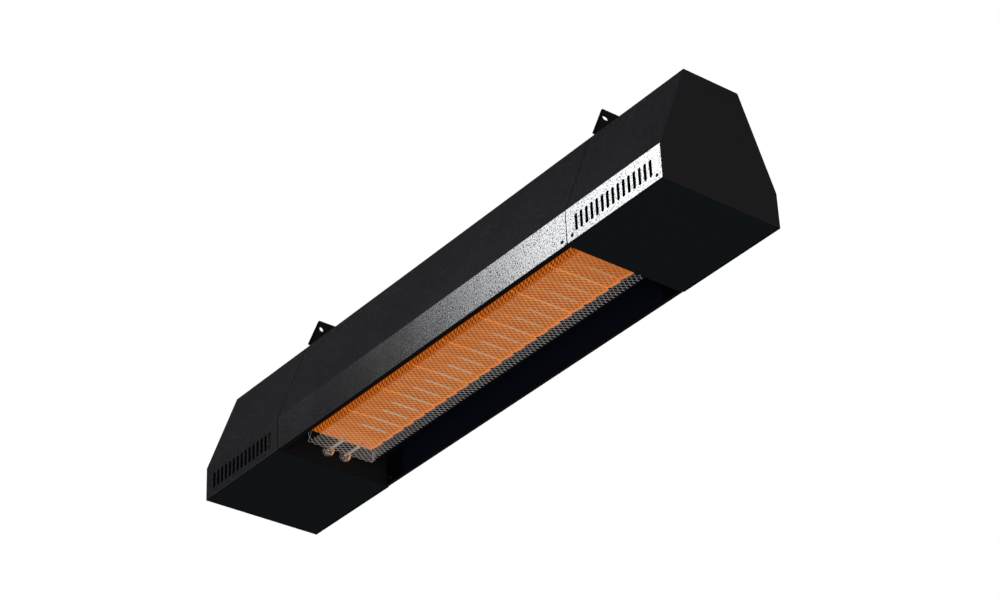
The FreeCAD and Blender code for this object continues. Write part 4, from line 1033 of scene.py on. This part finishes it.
def valve_springs():
    """Two wound springs: a round wire carried along a helix about X, closed at its ends by a pole.

    At turn t the wire's middle lies at angle 2 pi t. It advances by a wire's width over the first
    and over the last turn, which lie closed, and evenly in between.
    """
    turn = np.linspace(0.0, SPRING_TURNS, SPRING_STEPS * SPRING_TURNS + 1)
    turn = np.concatenate([turn[:1], turn, turn[-1:]])
    wire = np.full(len(turn), SPRING_WIRE_R)
    wire[[0, -1]] = 0.0
    closed = 2 * SPRING_WIRE_R
    length = SPRING_HEAD - SPRING_FOOT - closed
    advance = np.interp(turn, [0, 1, SPRING_TURNS - 1, SPRING_TURNS],
                        [0, closed, length - closed, length])
    angle = 2 * math.pi * turn[:, None]
    ring = full_turn(SPRING_SIDES)
    radius = SPRING_R + wire[:, None] * np.cos(ring)
    x = SPRING_FOOT + SPRING_WIRE_R + advance[:, None] + wire[:, None] * np.sin(ring)
    helix = np.stack([x, radius * np.cos(angle), radius * np.sin(angle)], -1)
    faces = grid_faces(len(turn), len(ring))
    for node, joint in (("plunger_spring_1", "first_plunger_lift"),
                        ("plunger_spring_2", "second_plunger_lift")):
        low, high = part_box(node)
        y, z = (low.y + high.y) / 2, (low.z + high.z) / 2
        made = piece(node + "_wound", helix + [0.0, y, z], faces, "machined_steel")
        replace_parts(made, node)
        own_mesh(made)


def fibre_blanket():
    """Mineral-fibre mat on the heat shield: a flat pad with soft edges and a slack, uneven top.

    Its section is a superellipse, |y/b|^n + |z/c|^n = 1, carried along X and shrunk towards each
    end by (1 - |x/a|^m)^(1/m). A few long waves press the top in.
    """
    half = (blanket_high - blanket_low) / 2
    middle = (blanket_high + blanket_low) / 2
    run = np.sin(np.linspace(-math.pi / 2, math.pi / 2, BLANKET_STEPS))[:, None]
    taper = (1 - np.abs(run) ** BLANKET_END) ** (1 / BLANKET_END)
    angle = full_turn(BLANKET_SIDES)
    broad, tall = (np.sign(way) * np.abs(way) ** (2 / BLANKET_EDGE)
                   for way in (np.cos(angle), np.sin(angle)))
    x = np.broadcast_to(middle.x + half.x * run, (len(run), len(angle)))
    tuck = half.y - BLANKET_TUCK * half.y * (1 - taper)
    y = middle.y + tuck * broad * taper ** BLANKET_CORNER
    wave = (np.sin(x / WAVE_LONG + WAVE_START) * np.sin(y / WAVE_BROAD)
            + np.sin(x / WAVE_SHORT + y / WAVE_SLANT))
    sag = BLANKET_SAG * (0.5 + 0.25 * wave) * np.clip(tall, 0, 1)
    z = middle.z + half.z * tall * taper - sag * taper
    made = piece("fibre_blanket", np.stack([x, y, z], -1), grid_faces(len(run), len(angle)),
                 "fibre")
    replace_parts(made, "insulation_blanket")


# Camera, lamps and room
def place_camera():
    """The camera below and in front of the right end, from its angles, roll and distance."""
    level_run = math.cos(CAMERA_ELEVATION)
    back = Vector((math.sin(CAMERA_AZIMUTH) * level_run, -math.cos(CAMERA_AZIMUTH) * level_run,
                   math.sin(CAMERA_ELEVATION)))
    level = (-back).cross(Vector((0, 0, 1))).normalized()
    upright = level.cross(-back)
    right = level * math.cos(CAMERA_ROLL) + upright * math.sin(CAMERA_ROLL)
    up = upright * math.cos(CAMERA_ROLL) - level * math.sin(CAMERA_ROLL)
    stand = right * CAMERA_ASIDE + up * CAMERA_LIFT + back * CAMERA_DISTANCE
    data = bpy.data.cameras.new("camera")
    data.lens = CAMERA_LENS
    data.sensor_width = CAMERA_SENSOR
    made = new_object("camera", data)
    made.matrix_world = Matrix(((right.x, up.x, back.x, stand.x), (right.y, up.y, back.y, stand.y),
                                (right.z, up.z, back.z, stand.z), (0, 0, 0, 1)))
    bpy.context.scene.camera = made


def softbox(name, place, target, width, height, watts, colour):
    """A rectangular soft lamp at a place, turned towards a target."""
    data = bpy.data.lights.new(name, "AREA")
    data.shape = "RECTANGLE"
    data.size = width
    data.size_y = height
    data.energy = watts
    data.color = colour
    made = new_object(name, data)
    made.location = place
    made.rotation_euler = (Vector(target) - Vector(place)).to_track_quat("-Z", "Y").to_euler()


def card(name, half, z, material):
    """A level square card that belongs to the room."""
    mesh = bpy.data.meshes.new(name)
    corners = [(-half, -half, z), (half, -half, z), (half, half, z), (-half, half, z)]
    mesh.from_pydata(corners, [], [(0, 1, 2, 3)])
    mesh.materials.append(material)
    made = new_object(name, mesh)
    return made


def room():
    """White surroundings, a pale floor seen only from above, a dark ceiling out of the picture."""
    world = bpy.data.worlds.new("studio")
    bpy.context.scene.world = world
    world.use_nodes = True
    tree = world.node_tree
    rays = add(tree, "ShaderNodeLightPath").outputs
    seen = maths(tree, "MAXIMUM", rays["Is Camera Ray"],
                 maths(tree, "MAXIMUM", rays["Is Glossy Ray"], rays["Is Transmission Ray"]))
    settle(tree.nodes["Background"], Color=(1, 1, 1, 1),
           Strength=ramp(tree, seen, 0.0, 1.0, SKY_FILL, 1.0))
    pale = bpy.data.materials.new("pale_floor")
    pale.use_nodes = True
    tree = pale.node_tree
    tree.nodes.remove(tree.nodes["Principled BSDF"])
    chalk = add(tree, "ShaderNodeBsdfDiffuse", {"Color": (0.85, 0.85, 0.84, 1)})
    clear = add(tree, "ShaderNodeBsdfTransparent")
    under = add(tree, "ShaderNodeNewGeometry").outputs["Backfacing"]
    both = add(tree, "ShaderNodeMixShader", {0: under, 1: chalk.outputs[0], 2: clear.outputs[0]})
    settle(tree.nodes["Material Output"], Surface=both.outputs[0])
    card("floor", FLOOR_HALF, FLOOR_Z, pale)
    dark = bpy.data.materials.new("dark_ceiling")
    dark.use_nodes = True
    settle(dark.node_tree.nodes["Principled BSDF"], Base_Color=(0.01, 0.01, 0.012, 1),
           Roughness=1.0)
    ceiling = card("ceiling", CEILING_HALF, CEILING_Z, dark)
    ceiling.visible_camera = False
    ceiling.visible_diffuse = False
    ceiling.visible_shadow = False


def lights():
    """A high softbox that glances off the front strip, and a soft lamp beside the camera."""
    softbox("high_softbox", place=(-1.70, -2.52, 2.3), target=(0.3, -0.12, 0.03),
            width=1.15, height=1.1, watts=114.0, colour=(0.97, 0.99, 1.0))
    softbox("camera_fill", place=(3.3, -2.0, -1.4), target=(0.0, 0.0, 0.05),
            width=2.0, height=2.0, watts=60.0, colour=(1.0, 0.98, 0.96))


bpy.context.scene.view_settings.view_transform = "Standard"
dress_frame()
expanded_guard()
casing_screws()
cable_gland()
inlet_fitting()
inlet_nut()
insulators()
valve_springs()
fibre_blanket()
place_camera()
room()
lights()
